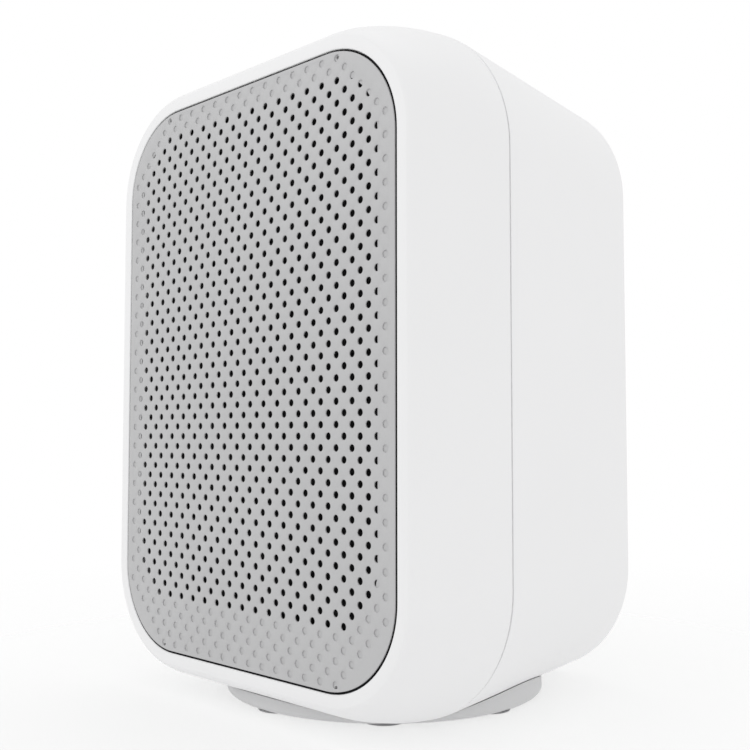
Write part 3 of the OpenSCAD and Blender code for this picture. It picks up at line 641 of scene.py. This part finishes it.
def perforated_sheet():
    """The perforated sheet, with rounded hole edges and a rounded rim."""
    edge = 0.08 * MM
    rim_edge = 0.12 * MM
    tree = Tree("perforated_sheet", {
        "Pitch": 5 * MM, "Columns": 19, "Rows": 27, "Corner Cut": 40, "Hole Radius": 0.825 * MM,
        "Edge": edge, "Thickness": SHEET_T, "Middle": MID_Z, "Back": sheet_hi.y,
    })
    bm = bmesh.new()
    outline = []
    for inset, z in [(0, 0), (0, SHEET_T - rim_edge)] + [
        (rim_edge * (1 - math.cos(a)), SHEET_T - rim_edge * (1 - math.sin(a)))
        for a in (math.pi / 6, math.pi / 3, math.pi / 2)
    ]:
        loop = rounded_loop(GRILLE_W / 2 - inset, GRILLE_H / 2 - inset, GRILLE_R - inset)
        outline.append([Vector((x, y, z)) for x, y in loop])
    loft(bm, outline)
    bmesh.ops.recalc_face_normals(bm, faces=bm.faces)
    start = bpy.data.meshes.new("sheet_rim")
    bm.to_mesh(start)
    bm.free()

    sides = 20
    thick = tree.size("Thickness")
    points = hole_points(tree)

    def filled(radius, front):
        """The flat face between the outline and the holes."""
        beside = tree.node("GeometryNodeInputMeshEdgeNeighbors")
        z = tree.node(
            "ShaderNodeSeparateXYZ", None, {"Vector": tree.node("GeometryNodeInputPosition")}, "Z",
        )
        level = (z / thick).do("GREATER_THAN" if front else "LESS_THAN", 0.5)
        free = beside.do("LESS_THAN", 1.5)
        outer = tree.node(
            "GeometryNodeMeshToCurve", None,
            {"Mesh": tree.geometry(), "Selection": (level * free).do("GREATER_THAN", 0.5)},
        )
        circle = tree.node(
            "GeometryNodeCurvePrimitiveCircle", None, {"Resolution": sides, "Radius": radius}, "Curve",
        )
        holes = tree.node("GeometryNodeInstanceOnPoints", None, {"Points": points, "Instance": circle})
        holes = tree.node("GeometryNodeRealizeInstances", None, {"Geometry": holes})
        both = tree.node("GeometryNodeJoinGeometry", None, {"Geometry": [outer, holes]})
        flat = tree.node("GeometryNodeFillCurve", None, {"Curve": both})
        if not front:
            return tree.node("GeometryNodeFlipFaces", None, {"Mesh": flat})
        up = tree.node("ShaderNodeCombineXYZ", None, {"Z": thick})
        return tree.node("GeometryNodeTransform", None, {"Geometry": flat, "Translation": up})

    radius = tree.size("Hole Radius")
    round_edge = tree.size("Edge")
    front = filled(radius + round_edge, True)
    back = filled(radius, False)
    tube = tree.node(
        "GeometryNodeMeshCylinder", {"fill_type": "NONE"},
        {"Vertices": sides, "Side Segments": 3, "Radius": 1.0, "Depth": 3.0}, "Mesh",
    )
    split = tree.node(
        "ShaderNodeSeparateXYZ", None, {"Vector": tree.node("GeometryNodeInputPosition")}, "X",
    ).socket.node
    x, y, z = (Value(tree, split.outputs[k]) for k in "XYZ")
    ring_number = (z + 1.5).do("ROUND")
    at_front = ring_number.do("GREATER_THAN", 2.5)
    near_front = ring_number.do("GREATER_THAN", 1.5)
    below = ring_number.do("GREATER_THAN", 0.5)
    slope = 0.45
    narrow = slope * 0.7
    across = radius + at_front * (round_edge * (1 - narrow)) + near_front * (round_edge * narrow)
    up = below * (thick - round_edge) + near_front * (round_edge * (1 - slope))
    up = up + at_front * (round_edge * slope)
    shaped = tree.node("ShaderNodeCombineXYZ", None, {"X": x * across, "Y": y * across, "Z": up})
    collar = tree.node("GeometryNodeSetPosition", None, {"Geometry": tube, "Position": shaped})
    collar = tree.node("GeometryNodeFlipFaces", None, {"Mesh": collar})
    collars = tree.node("GeometryNodeInstanceOnPoints", None, {"Points": points, "Instance": collar})
    collars = tree.node("GeometryNodeRealizeInstances", None, {"Geometry": collars})
    parts = [front, back, collars, tree.geometry()]
    whole = tree.node("GeometryNodeJoinGeometry", None, {"Geometry": parts})
    whole = tree.node("GeometryNodeMergeByDistance", None, {"Geometry": whole, "Distance": 2e-6})
    tree.close(stood_up(tree, whole, tree.size("Back"), tree.size("Middle")), slot_finish["grille_paint"])
    return tree.make("perforated_sheet", start)


sheet = shade(perforated_sheet(), 50)
place_piece(sheet, "cabinet", "grille_paint", "grille_sheet")


# ---------- cabinet ----------
def cutters(name, solids):
    """One object that holds several turned solids, to be cut out or added."""
    bm = bmesh.new()
    for profile, place, axis, steps in solids:
        add_turned(bm, profile, place, axis, steps)
    return finish_mesh(name, bm)


def disc_pocket():
    """The shallow round pocket in the cabinet's underside that takes the base disc."""
    deep = POCKET + SEAT_GAP
    profile = straight(DISC_R + SEAT_GAP, -3 * MM, deep)
    return cutters("disc_pocket", [(profile, (0, 0, BOTTOM_Z), ALONG_Z, 144)])


def front_shell():
    """Front housing: flat rim, flared sides, recess and ledge for the grille, inner wall."""
    seam_edge = 0.25 * MM
    rim_edge = 0.35 * MM
    back = Y_SEAM_FRONT - Y_FRONT
    rings = []
    half_w, half_h, r = front_outline(back)
    for a in (0, 30, 60, 90):
        inset = seam_edge * (1 - math.sin(math.radians(a)))
        y = Y_FRONT + back - seam_edge * (1 - math.cos(math.radians(a)))
        rings.append(ring(y, half_w - inset, half_h - inset, r - inset))
    steps = 30
    for k in range(1, steps + 1):
        d = (back - seam_edge) * (1 - k / steps) ** 2.2
        half_w, half_h, r = front_outline(d)
        rings.append(ring(Y_FRONT + d, half_w, half_h, r))
    gap_w = GRILLE_W / 2 + GRILLE_GAP
    gap_h = GRILLE_H / 2 + GRILLE_GAP
    gap_r = GRILLE_R + GRILLE_GAP
    for a in (0, 22.5, 45, 67.5, 90):
        out = rim_edge * (1 - math.sin(math.radians(a)))
        y = Y_FRONT + rim_edge * (1 - math.cos(math.radians(a)))
        rings.append(ring(y, gap_w + out, gap_h + out, gap_r + out))
    rings.append(ring(Y_PANEL_BACK, gap_w, gap_h, gap_r))
    open_half = OPEN_W / 2 + 0.1 * MM
    open_high = (OPEN_HI - OPEN_LO) / 2 + 0.1 * MM
    open_mid = (OPEN_HI + OPEN_LO) / 2
    rings.append(ring(Y_PANEL_BACK, open_half, open_high, OPEN_R, open_mid))
    rings.append(ring(Y_LEDGE, open_half, open_high, OPEN_R, open_mid))
    inner = Y_LEDGE - Y_FRONT
    for k in range(0, 13):
        d = inner + (back - inner) * (k / 12) ** 1.4
        half_w, half_h, r = front_outline(d)
        rings.append(ring(Y_FRONT + d, half_w - WALL, half_h - WALL, r - WALL))
    bm = bmesh.new()
    loft(bm, rings, closed=True)
    return shade(boolean(finish_mesh("front_shell", bm), disc_pocket(), "DIFFERENCE"))


shell = front_shell()
place_piece(shell, "cabinet", "white_shell", "front_housing")

# ---------- places of repeated CAD solids ----------
def islands(name):
    """The box of each separate solid in a CAD node, from left to right."""
    bm = bmesh.new()
    bm.from_mesh(nodes[name].data)
    bmesh.ops.remove_doubles(bm, verts=bm.verts, dist=1e-6)
    boxes = []
    left = set(bm.verts)
    while left:
        group = [left.pop()]
        lo = group[0].co.copy()
        hi = group[0].co.copy()
        while group:
            here = group.pop()
            lo = Vector(map(min, lo, here.co))
            hi = Vector(map(max, hi, here.co))
            for edge in here.link_edges:
                other = edge.other_vert(here)
                if other in left:
                    left.remove(other)
                    group.append(other)
        boxes.append((lo, hi))
    bm.free()
    return sorted(boxes, key=lambda b: (round(b[0].x, 5), round(b[0].z, 5)))


def middle(pair):
    """The middle of a box."""
    return (pair[0] + pair[1]) / 2


housing_screw_boxes = islands("housing_screws")
board_screw_boxes = islands("board_screws")
base_screw_boxes = islands("base_screws")
wall_screws = [b for b in board_screw_boxes if b[1].y - b[0].y > 5 * MM]
post_screws = [b for b in board_screw_boxes if b[1].y - b[0].y <= 5 * MM]
key_boxes = {name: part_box(name) for name in ("volume_down_button", "action_button", "volume_up_button")}

HUB_R = 18 * MM
HUB_GAP = 0.25 * MM
HUB_TOP = BOTTOM_Z + 4 * MM


def flat_box(bm, half_w, half_h, r, y0, y1, x, z, steps=6):
    """A rounded block along the depth."""
    rows = []
    for y in (y0, y1):
        rows.append([Vector((x + u, y, z + v)) for u, v in rounded_loop(half_w, half_h, r, steps, 1)])
    loft(bm, rows, first_cap=True, last_cap=True)


def rear_body():
    """Rear shell: tapered walls, rounded back edge, lip, bosses, sockets and openings."""
    seam_edge = 0.25 * MM
    rear_edge = 2 * MM
    inner_edge = 1 * MM
    y_inner = Y_REAR - WALL
    rings = []
    for a in (90, 60, 30, 0):
        y = y_inner - inner_edge * (1 - math.sin(math.radians(a)))
        half_w, half_h, r = rear_outline(y)
        inset = WALL + inner_edge * (1 - math.cos(math.radians(a)))
        rings.append(ring(y, half_w - inset, half_h - inset, r - inset))
    for k in range(1, 9):
        y = (y_inner - inner_edge) + (Y_SEAM_REAR - y_inner + inner_edge) * k / 8
        half_w, half_h, r = rear_outline(y)
        rings.append(ring(y, half_w - WALL, half_h - WALL, r - WALL))
    for a in (90, 60, 30, 0):
        inset = seam_edge * (1 - math.cos(math.radians(a)))
        y = Y_SEAM_REAR + seam_edge * (1 - math.sin(math.radians(a)))
        half_w, half_h, r = rear_outline(y)
        rings.append(ring(y, half_w - inset, half_h - inset, r - inset))
    for k in range(1, 21):
        y = Y_SEAM_REAR + seam_edge + (Y_REAR - rear_edge - Y_SEAM_REAR - seam_edge) * k / 20
        rings.append(ring(y, *rear_outline(y)))
    for k in range(1, 9):
        a = math.pi / 2 * k / 8
        y = Y_REAR - rear_edge * (1 - math.sin(a))
        half_w, half_h, r = rear_outline(y)
        inset = rear_edge * (1 - math.cos(a))
        rings.append(ring(y, half_w - inset, half_h - inset, r - inset))
    bm = bmesh.new()
    loft(bm, rings, first_cap=True, last_cap=True)
    body = finish_mesh("rear_body", bm)

    bm = bmesh.new()
    lip = []
    for y, inset in ((-3, 3.5), (0.2, 3.5), (0.2, 2.5), (3.2, 2.5), (3.2, 5), (-3, 5)):
        inset = inset * MM
        lip.append(ring(Y_SPLIT + y * MM, CAB_W / 2 - inset, CAB_H / 2 - inset, CORNER_R - inset))
    loft(bm, lip, closed=True)
    boolean(body, finish_mesh("lip", bm), "UNION")

    added = []
    cut = []
    boss_r = 4.5 * MM
    boss_long = 52 * MM
    insert_r = 2.1 * MM
    insert_long = 6 * MM
    screw_hole = [(1.6 * MM, insert_long), (1.6 * MM, 19 * MM)]
    for box_of in housing_screw_boxes:
        at = middle(box_of)
        start = (at.x, baffle_hi.y, at.z)
        added.append((straight(boss_r, 0, boss_long), start, ALONG_Y, 32))
        cut.append((straight(insert_r, -1 * MM, insert_long) + screw_hole, start, ALONG_Y, 24))
    board_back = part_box("main_board")[1].y
    for box_of in wall_screws:
        at = middle(box_of)
        start = (at.x, board_back, at.z)
        added.append((straight(3 * MM, 0, y_inner + MM - board_back), start, ALONG_Y, 24))
        cut.append((straight(1.2 * MM, -1 * MM, 9 * MM), start, ALONG_Y, 16))
    key_board_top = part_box("button_board")[1].z
    for box_of in post_screws:
        at = middle(box_of)
        start = (at.x, at.y, key_board_top)
        added.append((straight(2.5 * MM, 0, TOP_Z - WALL + MM - key_board_top), start, ALONG_Z, 24))
        cut.append((straight(MM, -1 * MM, 4.8 * MM), start, ALONG_Z, 16))
    cup = straight(HUB_R + HUB_GAP + WALL, MM, 4 * MM + WALL)
    added.append((cup, (0, 0, BOTTOM_Z), ALONG_Z, 64))
    cut.append((straight(HUB_R + HUB_GAP, -3 * MM, 4.1 * MM), (0, 0, BOTTOM_Z), ALONG_Z, 64))
    for box_of in base_screw_boxes:
        at = middle(box_of)
        added.append((straight(3.5 * MM, 0, 9 * MM), (at.x, at.y, HUB_TOP), ALONG_Z, 24))
        cut.append((straight(1.25 * MM, -1 * MM, 8 * MM), (at.x, at.y, HUB_TOP), ALONG_Z, 16))
    for n, solid in enumerate(added):
        boolean(body, cutters(f"added_{n}", [solid]), "UNION")

    lip_edge = 0.35 * MM
    for lo, hi in key_boxes.values():
        hole = 5.3 * MM
        profile = straight(hole, -5 * MM, -lip_edge)
        for a in (30, 60, 90):
            out = lip_edge * (1 - math.cos(math.radians(a)))
            down = lip_edge * (1 - math.sin(math.radians(a)))
            profile.append((hole + out, -down))
        profile.append((hole + lip_edge, MM))
        at = (lo + hi) / 2
        cut.append((profile, (at.x, at.y, TOP_Z), ALONG_Z, 48))
    at = (guide_lo + guide_hi) / 2
    profile = straight(1.2 * MM, -5 * MM, -0.2 * MM) + straight(1.45 * MM, 0, MM)
    cut.append((profile, (at.x, at.y, TOP_Z), ALONG_Z, 32))
    at = (reset_lo + reset_hi) / 2
    profile = straight(2.8 * MM, -5 * MM, -lip_edge) + [(2.9 * MM, -0.1 * MM)]
    profile += straight(3.15 * MM, 0, MM)
    cut.append((profile, (at.x, Y_REAR, at.z), ALONG_Y, 40))
    bm = bmesh.new()
    for profile, place, axis, steps in cut:
        add_turned(bm, profile, place, axis, steps)
    at = (inlet_lo + inlet_hi) / 2
    play = 0.1 * MM
    flat_box(bm, (inlet_hi.x - inlet_lo.x) / 2 + play, (inlet_hi.z - inlet_lo.z) / 2 + play, 1.1 * MM,
             y_inner - MM, Y_REAR + MM, at.x, at.z)
    boolean(body, finish_mesh("openings", bm), "DIFFERENCE")
    return shade(boolean(body, disc_pocket(), "DIFFERENCE"))


place_piece(rear_body(), "cabinet", "white_shell", "rear_shell")


# ---------- base ----------
def belly_z(x, y):
    """Height of the cabinet's underside over a point."""
    half_w, half_h, r = front_outline(y - Y_FRONT) if y < Y_SPLIT else rear_outline(y)
    over = max(0.0, abs(x) - (half_w - r))
    return MID_Z - half_h + r - math.sqrt(r * r - over * over)


def base_plate():
    """Round base whose top follows the cabinet's underside, with its hub and screw pockets."""
    sides = 144
    radius = DISC_R
    bottom = disc_lo.z
    low_edge = 1 * MM
    top_edge = 0.3 * MM
    gap = 0.15 * MM
    web = BOTTOM_Z + POCKET
    lowest = bottom + low_edge + 0.05 * MM
    rings = []

    def circle_at(r, height):
        """A ring whose height may depend on its place."""
        points = []
        for i in range(sides):
            a = 2 * math.pi * i / sides
            x = r * math.cos(a)
            y = r * math.sin(a)
            points.append(Vector((x, y, height(x, y) if callable(height) else height)))
        return points

    def top(x, y):
        return max(belly_z(x, y) - gap, web)

    rings.append(circle_at(2 * MM, bottom))
    rings.append(circle_at(radius - low_edge, bottom))
    for a in (22.5, 45, 67.5, 90):
        drop = low_edge * (1 - math.sin(math.radians(a)))
        rings.append(circle_at(radius - drop, bottom + low_edge * (1 - math.cos(math.radians(a)))))
    for share in (0.0, 45, 90):
        back = top_edge * (1 - math.cos(math.radians(share)))
        down = top_edge * (1 - math.sin(math.radians(share)))
        rings.append(circle_at(radius - back, lambda x, y, d=down: max(top(x, y) - d, lowest)))
    for k in range(1, 13):
        r = radius - top_edge + (HUB_R + 0.4 * MM - radius + top_edge) * k / 12
        rings.append(circle_at(r, top))
    rings.append(circle_at(HUB_R, web))
    rings.append(circle_at(HUB_R, HUB_TOP - 0.4 * MM))
    rings.append(circle_at(HUB_R - 0.4 * MM, HUB_TOP))
    rings.append(circle_at(2 * MM, HUB_TOP))
    bm = bmesh.new()
    loft(bm, rings, first_cap=True, last_cap=True)
    plate = finish_mesh("base_plate", bm)
    pockets = []
    for box_of in base_screw_boxes:
        at = middle(box_of)
        profile = [(3.1 * MM, -MM)] + straight(2.9 * MM, 0.2 * MM, 2 * MM)
        profile += straight(1.6 * MM, 2 * MM, 9 * MM)
        pockets.append((profile, (at.x, at.y, bottom), ALONG_Z, 32))
    return shade(boolean(plate, cutters("pockets", pockets), "DIFFERENCE"))


place_piece(base_plate(), "cabinet", "base_plastic", "base_disc")


def feet():
    """Eight round rubber pads, one pad turned about the middle of the base."""
    lo, hi = islands("rubber_feet")[-1]
    at = (lo + hi) / 2
    r = (hi.x - lo.x) / 2
    soft = 0.15 * MM
    bm = bmesh.new()
    core = 0.5 * MM
    profile = [(core, 0), (r - soft, 0), (r - soft * 0.3, soft * 0.3), (r, soft), (r, hi.z), (core, hi.z)]
    add_turned(bm, profile, (at.x, 0, 0), ALONG_Z, 48)
    bmesh.ops.recalc_face_normals(bm, faces=bm.faces)
    pad = bpy.data.meshes.new("pad")
    bm.to_mesh(pad)
    bm.free()
    tree = Tree("round_the_base", {"Count": 8})
    line = tree.node(
        "GeometryNodeMeshLine", None, {"Count": tree.size("Count"), "Offset": (0, 0, 0)}, "Mesh",
    )
    number = tree.node("GeometryNodeInputIndex")
    turn = tree.node("ShaderNodeCombineXYZ", None, {"Z": number * (2 * math.pi) / tree.size("Count")})
    placed = tree.node(
        "GeometryNodeInstanceOnPoints", None,
        {"Points": line, "Instance": tree.geometry(), "Rotation": turn},
    )
    tree.close(placed, slot_finish["foot_rubber"])
    return shade(tree.make("feet", pad))


place_piece(feet(), "cabinet", "foot_rubber", "rubber_feet")


# ---------- keys, light and reset ----------
def key_cap(name, mark):
    """A round key with a rounded edge, a shallow dish and a cut mark."""
    lo, hi = key_boxes[name]
    at = (lo + hi) / 2
    height = hi.z - lo.z
    r = 5 * MM
    edge = 0.6 * MM
    dish = 0.3 * MM
    profile = [(0.5 * MM, 0), (6.2 * MM, 0), (6.2 * MM, 1.4 * MM), (r, 1.4 * MM)]
    profile += fillet(r, height, edge, 6)
    for share in (0.85, 0.7, 0.55, 0.4, 0.25, 0.1):
        profile.append(((r - edge) * share, height - dish * (1 - share * share)))
    bm = bmesh.new()
    add_turned(bm, profile, (at.x, at.y, lo.z), ALONG_Z, 72)
    cap = finish_mesh(name.replace("button", "key"), bm)
    bm = bmesh.new()
    bar = 2.1 * MM
    thin = 0.32 * MM
    deep = 0.5 * MM
    turns = {"minus": (0,), "plus": (0, math.pi / 2), "dot": ()}[mark]
    for turn in turns:
        rows = []
        for z in (height - deep, height + MM):
            row = []
            for u, v in rounded_loop(bar, thin, thin * 0.98, 6, 1):
                x = u * math.cos(turn) - v * math.sin(turn)
                y = u * math.sin(turn) + v * math.cos(turn)
                row.append(Vector((at.x + x, at.y + y, lo.z + z)))
            rows.append(row)
        loft(bm, rows, first_cap=True, last_cap=True)
        boolean(cap, finish_mesh("mark", bm), "DIFFERENCE")
        bm = bmesh.new()
    if mark == "dot":
        dot = straight(0.75 * MM, height - deep, height + MM)
        add_turned(bm, dot, (at.x, at.y, lo.z), ALONG_Z, 24)
        boolean(cap, finish_mesh("mark", bm), "DIFFERENCE")
    return shade(cap, 40)


place_piece(key_cap("volume_down_button", "minus"), "volume_down_key", "white_shell", "volume_down_button")
place_piece(key_cap("action_button", "dot"), "action_key", "white_shell", "action_button")
place_piece(key_cap("volume_up_button", "plus"), "volume_up_key", "white_shell", "volume_up_button")


def turned_piece(name, profile, place, axis, steps=48):
    """A piece turned from one profile."""
    bm = bmesh.new()
    add_turned(bm, profile, place, axis, steps)
    return finish_mesh(name, bm, angle=40)


at = (reset_lo + reset_hi) / 2
long = reset_hi.y - reset_lo.y
profile = [(0.4 * MM, 0)] + straight(3.5 * MM, 0, 1.2 * MM)
profile += [(2.5 * MM, 1.2 * MM)] + fillet(2.5 * MM, long, 0.4 * MM)
profile += [(1.4 * MM, long - 0.15 * MM), (0.5 * MM, long - 0.25 * MM)]
reset_key = turned_piece("reset_key", profile, (at.x, reset_lo.y, at.z), ALONG_Y)
place_piece(reset_key, "reset_key", "grey_plastic", "reset_button")

at = (guide_lo + guide_hi) / 2
long = guide_hi.z - guide_lo.z
profile = [(0.3 * MM, 0)] + straight(1.2 * MM, 0, long - 0.35 * MM)
profile += [(1.0 * MM, long - 0.15 * MM), (0.6 * MM, long - 0.03 * MM), (0.2 * MM, long)]
light_lens = turned_piece("light_lens", profile, (at.x, at.y, guide_lo.z), ALONG_Z)
place_piece(light_lens, "cabinet", "clear_guide", "light_guide")


# ---------- mains inlet ----------
def inlet():
    """Two-pole inlet: rounded body, chamfered mouth, socket and holes for the pins."""
    at = (inlet_lo + inlet_hi) / 2
    half_w = (inlet_hi.x - inlet_lo.x) / 2
    half_h = (inlet_hi.z - inlet_lo.z) / 2
    socket_w = 7.4 * MM
    socket_h = 4.1 * MM
    depth = 13 * MM
    edge = 0.4 * MM
    plan = [
        (inlet_lo.y, half_w, half_h, MM), (inlet_hi.y - edge, half_w, half_h, MM),
        (inlet_hi.y - edge * 0.3, half_w - edge * 0.3, half_h - edge * 0.3, MM),
        (inlet_hi.y, half_w - edge, half_h - edge, MM),
        (inlet_hi.y, socket_w + 0.5 * MM, socket_h + 0.5 * MM, socket_h + 0.4 * MM),
        (inlet_hi.y - 0.5 * MM, socket_w, socket_h, socket_h - 0.01 * MM),
        (inlet_hi.y - depth, socket_w, socket_h, socket_h - 0.01 * MM),
    ]
    rows = []
    for y, w, h, r in plan:
        rows.append([Vector((at.x + u, y, at.z + v)) for u, v in rounded_loop(w, h, r, 10, 4)])
    bm = bmesh.new()
    loft(bm, rows, first_cap=True, last_cap=True)
    body = finish_mesh("inlet", bm)
    holes = []
    for lo, hi in islands("inlet_pins"):
        start = ((lo.x + hi.x) / 2, lo.y, at.z)
        holes.append((straight(1.2 * MM, -MM, hi.y - lo.y), start, ALONG_Y, 24))
    return shade(boolean(body, cutters("pin_holes", holes), "DIFFERENCE"))


place_piece(inlet(), "cabinet", "inlet_plastic", "power_inlet")

bm = bmesh.new()
for lo, hi in islands("inlet_pins"):
    long = hi.y - lo.y
    r = (hi.x - lo.x) / 2
    profile = [(r * 0.6, 0), (r, 0.2 * MM)] + fillet(r, long, r * 0.85, 5)
    add_turned(bm, profile, ((lo.x + hi.x) / 2, lo.y, (lo.z + hi.z) / 2), ALONG_Y, 24)
place_piece(finish_mesh("pins", bm), "cabinet", "plated_steel", "inlet_pins")


# ---------- screws ----------
def screws(name, boxes, axis, slot_name, turn=0.3):
    """Cross-head screws: one lathe shape with a cut recess, set on every place by a tree."""
    lo, hi = boxes[0]
    size = hi - lo
    along = max(range(3), key=lambda k: abs(axis[k]))
    across = (along + 1) % 3
    long = size[along]
    head_r = size[across] / 2
    head = 1.8 * MM if long > 12 * MM else 1.3 * MM
    shank = head_r * 0.56
    tip = 0.6 * MM
    pitch = 0.7 * MM
    profile = [(0.05 * MM, 0), (shank * 0.45, 0.05 * MM), (shank * 0.9, tip)]
    h = tip
    while h + pitch < long - head - 0.4 * MM:
        profile.append((shank * 0.86, h + pitch * 0.5))
        profile.append((shank, h + pitch * 0.8))
        h += pitch
    profile.append((shank * 0.86, long - head))
    profile.append((head_r * 0.98, long - head))
    profile += fillet(head_r, long, min(0.7 * MM, head * 0.6), 4)
    profile.append((0.1 * MM, long))
    bm = bmesh.new()
    add_turned(bm, profile, (0, 0, 0), ALONG_Z, 24)
    screw = finish_mesh("screw", bm)
    arm = head_r * 0.55
    wide = head_r * 0.14
    for k in range(2):
        bm = bmesh.new()
        rows = []
        for z, share in ((long - head * 0.6, 0.45), (long + 0.2 * MM, 1.1)):
            w, v = (arm * share, wide) if k == 0 else (wide, arm * share)
            rows.append([Vector((a * w, b * v, z)) for a, b in ((1, 1), (-1, 1), (-1, -1), (1, -1))])
        loft(bm, rows, first_cap=True, last_cap=True)
        boolean(screw, finish_mesh("recess", bm), "DIFFERENCE")
    shape = screw.data
    bpy.data.objects.remove(screw)
    points = bpy.data.meshes.new("places")
    centres = []
    for lo, hi in boxes:
        at = (lo + hi) / 2
        at[along] = lo[along] if axis[along] > 0 else hi[along]
        centres.append(at)
    points.from_pydata(centres, [], [])
    holder = new_object("screw_shape", shape)
    tree = Tree(name, {"Turn": turn})
    shape_of = tree.node("GeometryNodeObjectInfo", None, {"Object": holder}, "Geometry")
    face = Vector(ALONG_Z).rotation_difference(Vector(axis)).to_euler()
    number = tree.node("GeometryNodeInputIndex")
    spin = tree.node("ShaderNodeCombineXYZ", None, {"Z": number * tree.size("Turn") * 7.3})
    standing = tree.node(
        "GeometryNodeInstanceOnPoints", None,
        {"Points": tree.geometry(), "Instance": shape_of, "Rotation": tuple(face)},
    )
    standing = tree.node(
        "GeometryNodeRotateInstances", None,
        {"Instances": standing, "Rotation": spin, "Local Space": True},
    )
    tree.close(standing, slot_finish[slot_name])
    made = tree.make(name, points)
    bpy.data.objects.remove(holder)
    return shade(made, 40)


toward_front = (0, -1, 0)
cabinet_screws = screws("cabinet_screws", housing_screw_boxes, toward_front, "plated_screw")
place_piece(cabinet_screws, "cabinet", "plated_screw", "housing_screws")
base_plate_screws = screws("base_plate_screws", base_screw_boxes, (0, 0, -1), "plated_screw")
place_piece(base_plate_screws, "cabinet", "plated_screw", "base_screws")


# ---------- acoustic cloth ----------
def cloth():
    """The thin cloth behind the openings, stretched over the housing's ledge."""
    rows = []
    half_w = OPEN_W / 2
    half_h = (OPEN_HI - OPEN_LO) / 2
    z = (OPEN_HI + OPEN_LO) / 2
    y = middle((cloth_lo, cloth_hi)).y
    for k in range(12):
        share = 1 - k / 12
        rows.append(ring(y, half_w * share, half_h * share, OPEN_R * share, z, 12))
    bm = bmesh.new()
    loft(bm, rows, last_cap=True)
    bmesh.ops.recalc_face_normals(bm, faces=bm.faces)
    mesh = bpy.data.meshes.new("cloth")
    bm.to_mesh(mesh)
    bm.free()
    return shade(new_object("cloth", mesh))


cloth_piece = place_piece(cloth(), "cabinet", "acoustic_cloth", "grille_cloth")


# ---------- felt pads ----------
def felt_pads():
    """Two soft felt pads with crowned faces and pulled-in sides."""
    made = []
    for number, (lo, hi) in enumerate(islands("damping_pads")):
        half = (hi - lo) / 2
        centre = (lo + hi) / 2
        bm = bmesh.new()
        bmesh.ops.create_cube(bm, size=2)
        bmesh.ops.subdivide_edges(bm, edges=bm.edges, cuts=9, use_grid_fill=True)
        for v in bm.verts:
            x, y, z = v.co
            round_off = 1 - 0.06 * (abs(x) ** 6 + abs(y) ** 6 + abs(z) ** 6 - 1)
            crown = 1 - 0.10 * (x * x + z * z) / 2
            pull = 1 - 0.035 * (1 - y * y) * 0.5
            v.co = Vector((
                centre.x + half.x * x * round_off * pull * 0.97,
                centre.y + half.y * y * round_off * crown,
                centre.z + half.z * z * round_off * pull * 0.97,
            ))
        made.append(finish_mesh(f"felt_pad_{number}", bm, angle=60))
    return made


pads = felt_pads()
for number, pad in enumerate(pads):
    place_piece(pad, "cabinet", "damping_felt", *(["damping_pads"] if number == 0 else []))


# ---------- stage, light and camera ----------
def floor():
    """Pale floor that fades into the background."""
    size = 0.5
    bm = bmesh.new()
    bmesh.ops.create_grid(bm, x_segments=8, y_segments=8, size=size)
    mesh = bpy.data.meshes.new("floor")
    bm.to_mesh(mesh)
    bm.free()
    made = new_object("floor", mesh)
    f = Finish("floor")
    far = f.node("ShaderNodeVectorMath", {"operation": "LENGTH"}, {0: f.place}, "Value")
    fade = f.remap(far, 0.06, 0.3, 0.6, 1.0)
    grit = f.noise(0.4 * MM, 2)
    tone = f.mix(f.remap(grit, 0.3, 0.7), rgb((0.9, 0.9, 0.9)), rgb((0.93, 0.93, 0.93)))
    near = f.node("ShaderNodeBsdfPrincipled", None, {"Base Color": tone, "Roughness": 0.8})
    gone = f.node("ShaderNodeBsdfTransparent")
    both = f.node("ShaderNodeMixShader", None, {0: fade, 1: near, 2: gone})
    last = f.tree.nodes.new("ShaderNodeOutputMaterial")
    f.tree.links.new(both.socket, last.inputs["Surface"])
    mesh.materials.append(f.material)


def area_light(name, place, aim, size, power, colour=(1, 1, 1)):
    """A soft square light that looks at a point."""
    data = bpy.data.lights.new(name, "AREA")
    data.shape = "SQUARE"
    data.size = size
    data.energy = power
    data.color = colour
    lamp = bpy.data.objects.new(name, data)
    lamp.location = place
    lamp.rotation_euler = (Vector(aim) - Vector(place)).to_track_quat("-Z", "Y").to_euler()
    bpy.context.scene.collection.objects.link(lamp)


def background():
    """White behind the part, with a softer white for what lights it."""
    world = bpy.data.worlds.new("studio")
    bpy.context.scene.world = world
    world.use_nodes = True
    world.node_tree.nodes.clear()
    w = Nodes(world.node_tree)
    seen = w.node("ShaderNodeLightPath", out="Is Camera Ray")
    strength = seen * (1.0 - AMBIENT) + AMBIENT
    sky = w.node("ShaderNodeBackground", None, {"Color": rgb((1, 1, 1)), "Strength": strength})
    last = world.node_tree.nodes.new("ShaderNodeOutputWorld")
    world.node_tree.links.new(sky.socket, last.inputs["Surface"])


AMBIENT = 0.97
floor()
background()
area_light("near", (-0.22, -0.32, 0.30), (-0.03, -0.04, 0.11), 0.2, 0.1)
area_light("top", (0.0, 0.0, 0.9), (0, 0, 0.1), 0.6, 0.4)

camera_data = bpy.data.cameras.new("camera")
camera_data.lens = 50.47
camera_data.sensor_width = 36
camera_data.clip_start = 0.01
camera = bpy.data.objects.new("camera", camera_data)
camera.location = (0.1995, -0.1986, MID_Z - 0.0150)
camera.rotation_euler = Vector((-0.71360, 0.69813, 0.05813)).to_track_quat("-Z", "Y").to_euler()
bpy.context.scene.collection.objects.link(camera)
bpy.context.scene.camera = camera
bpy.context.scene.view_settings.view_transform = "Standard"
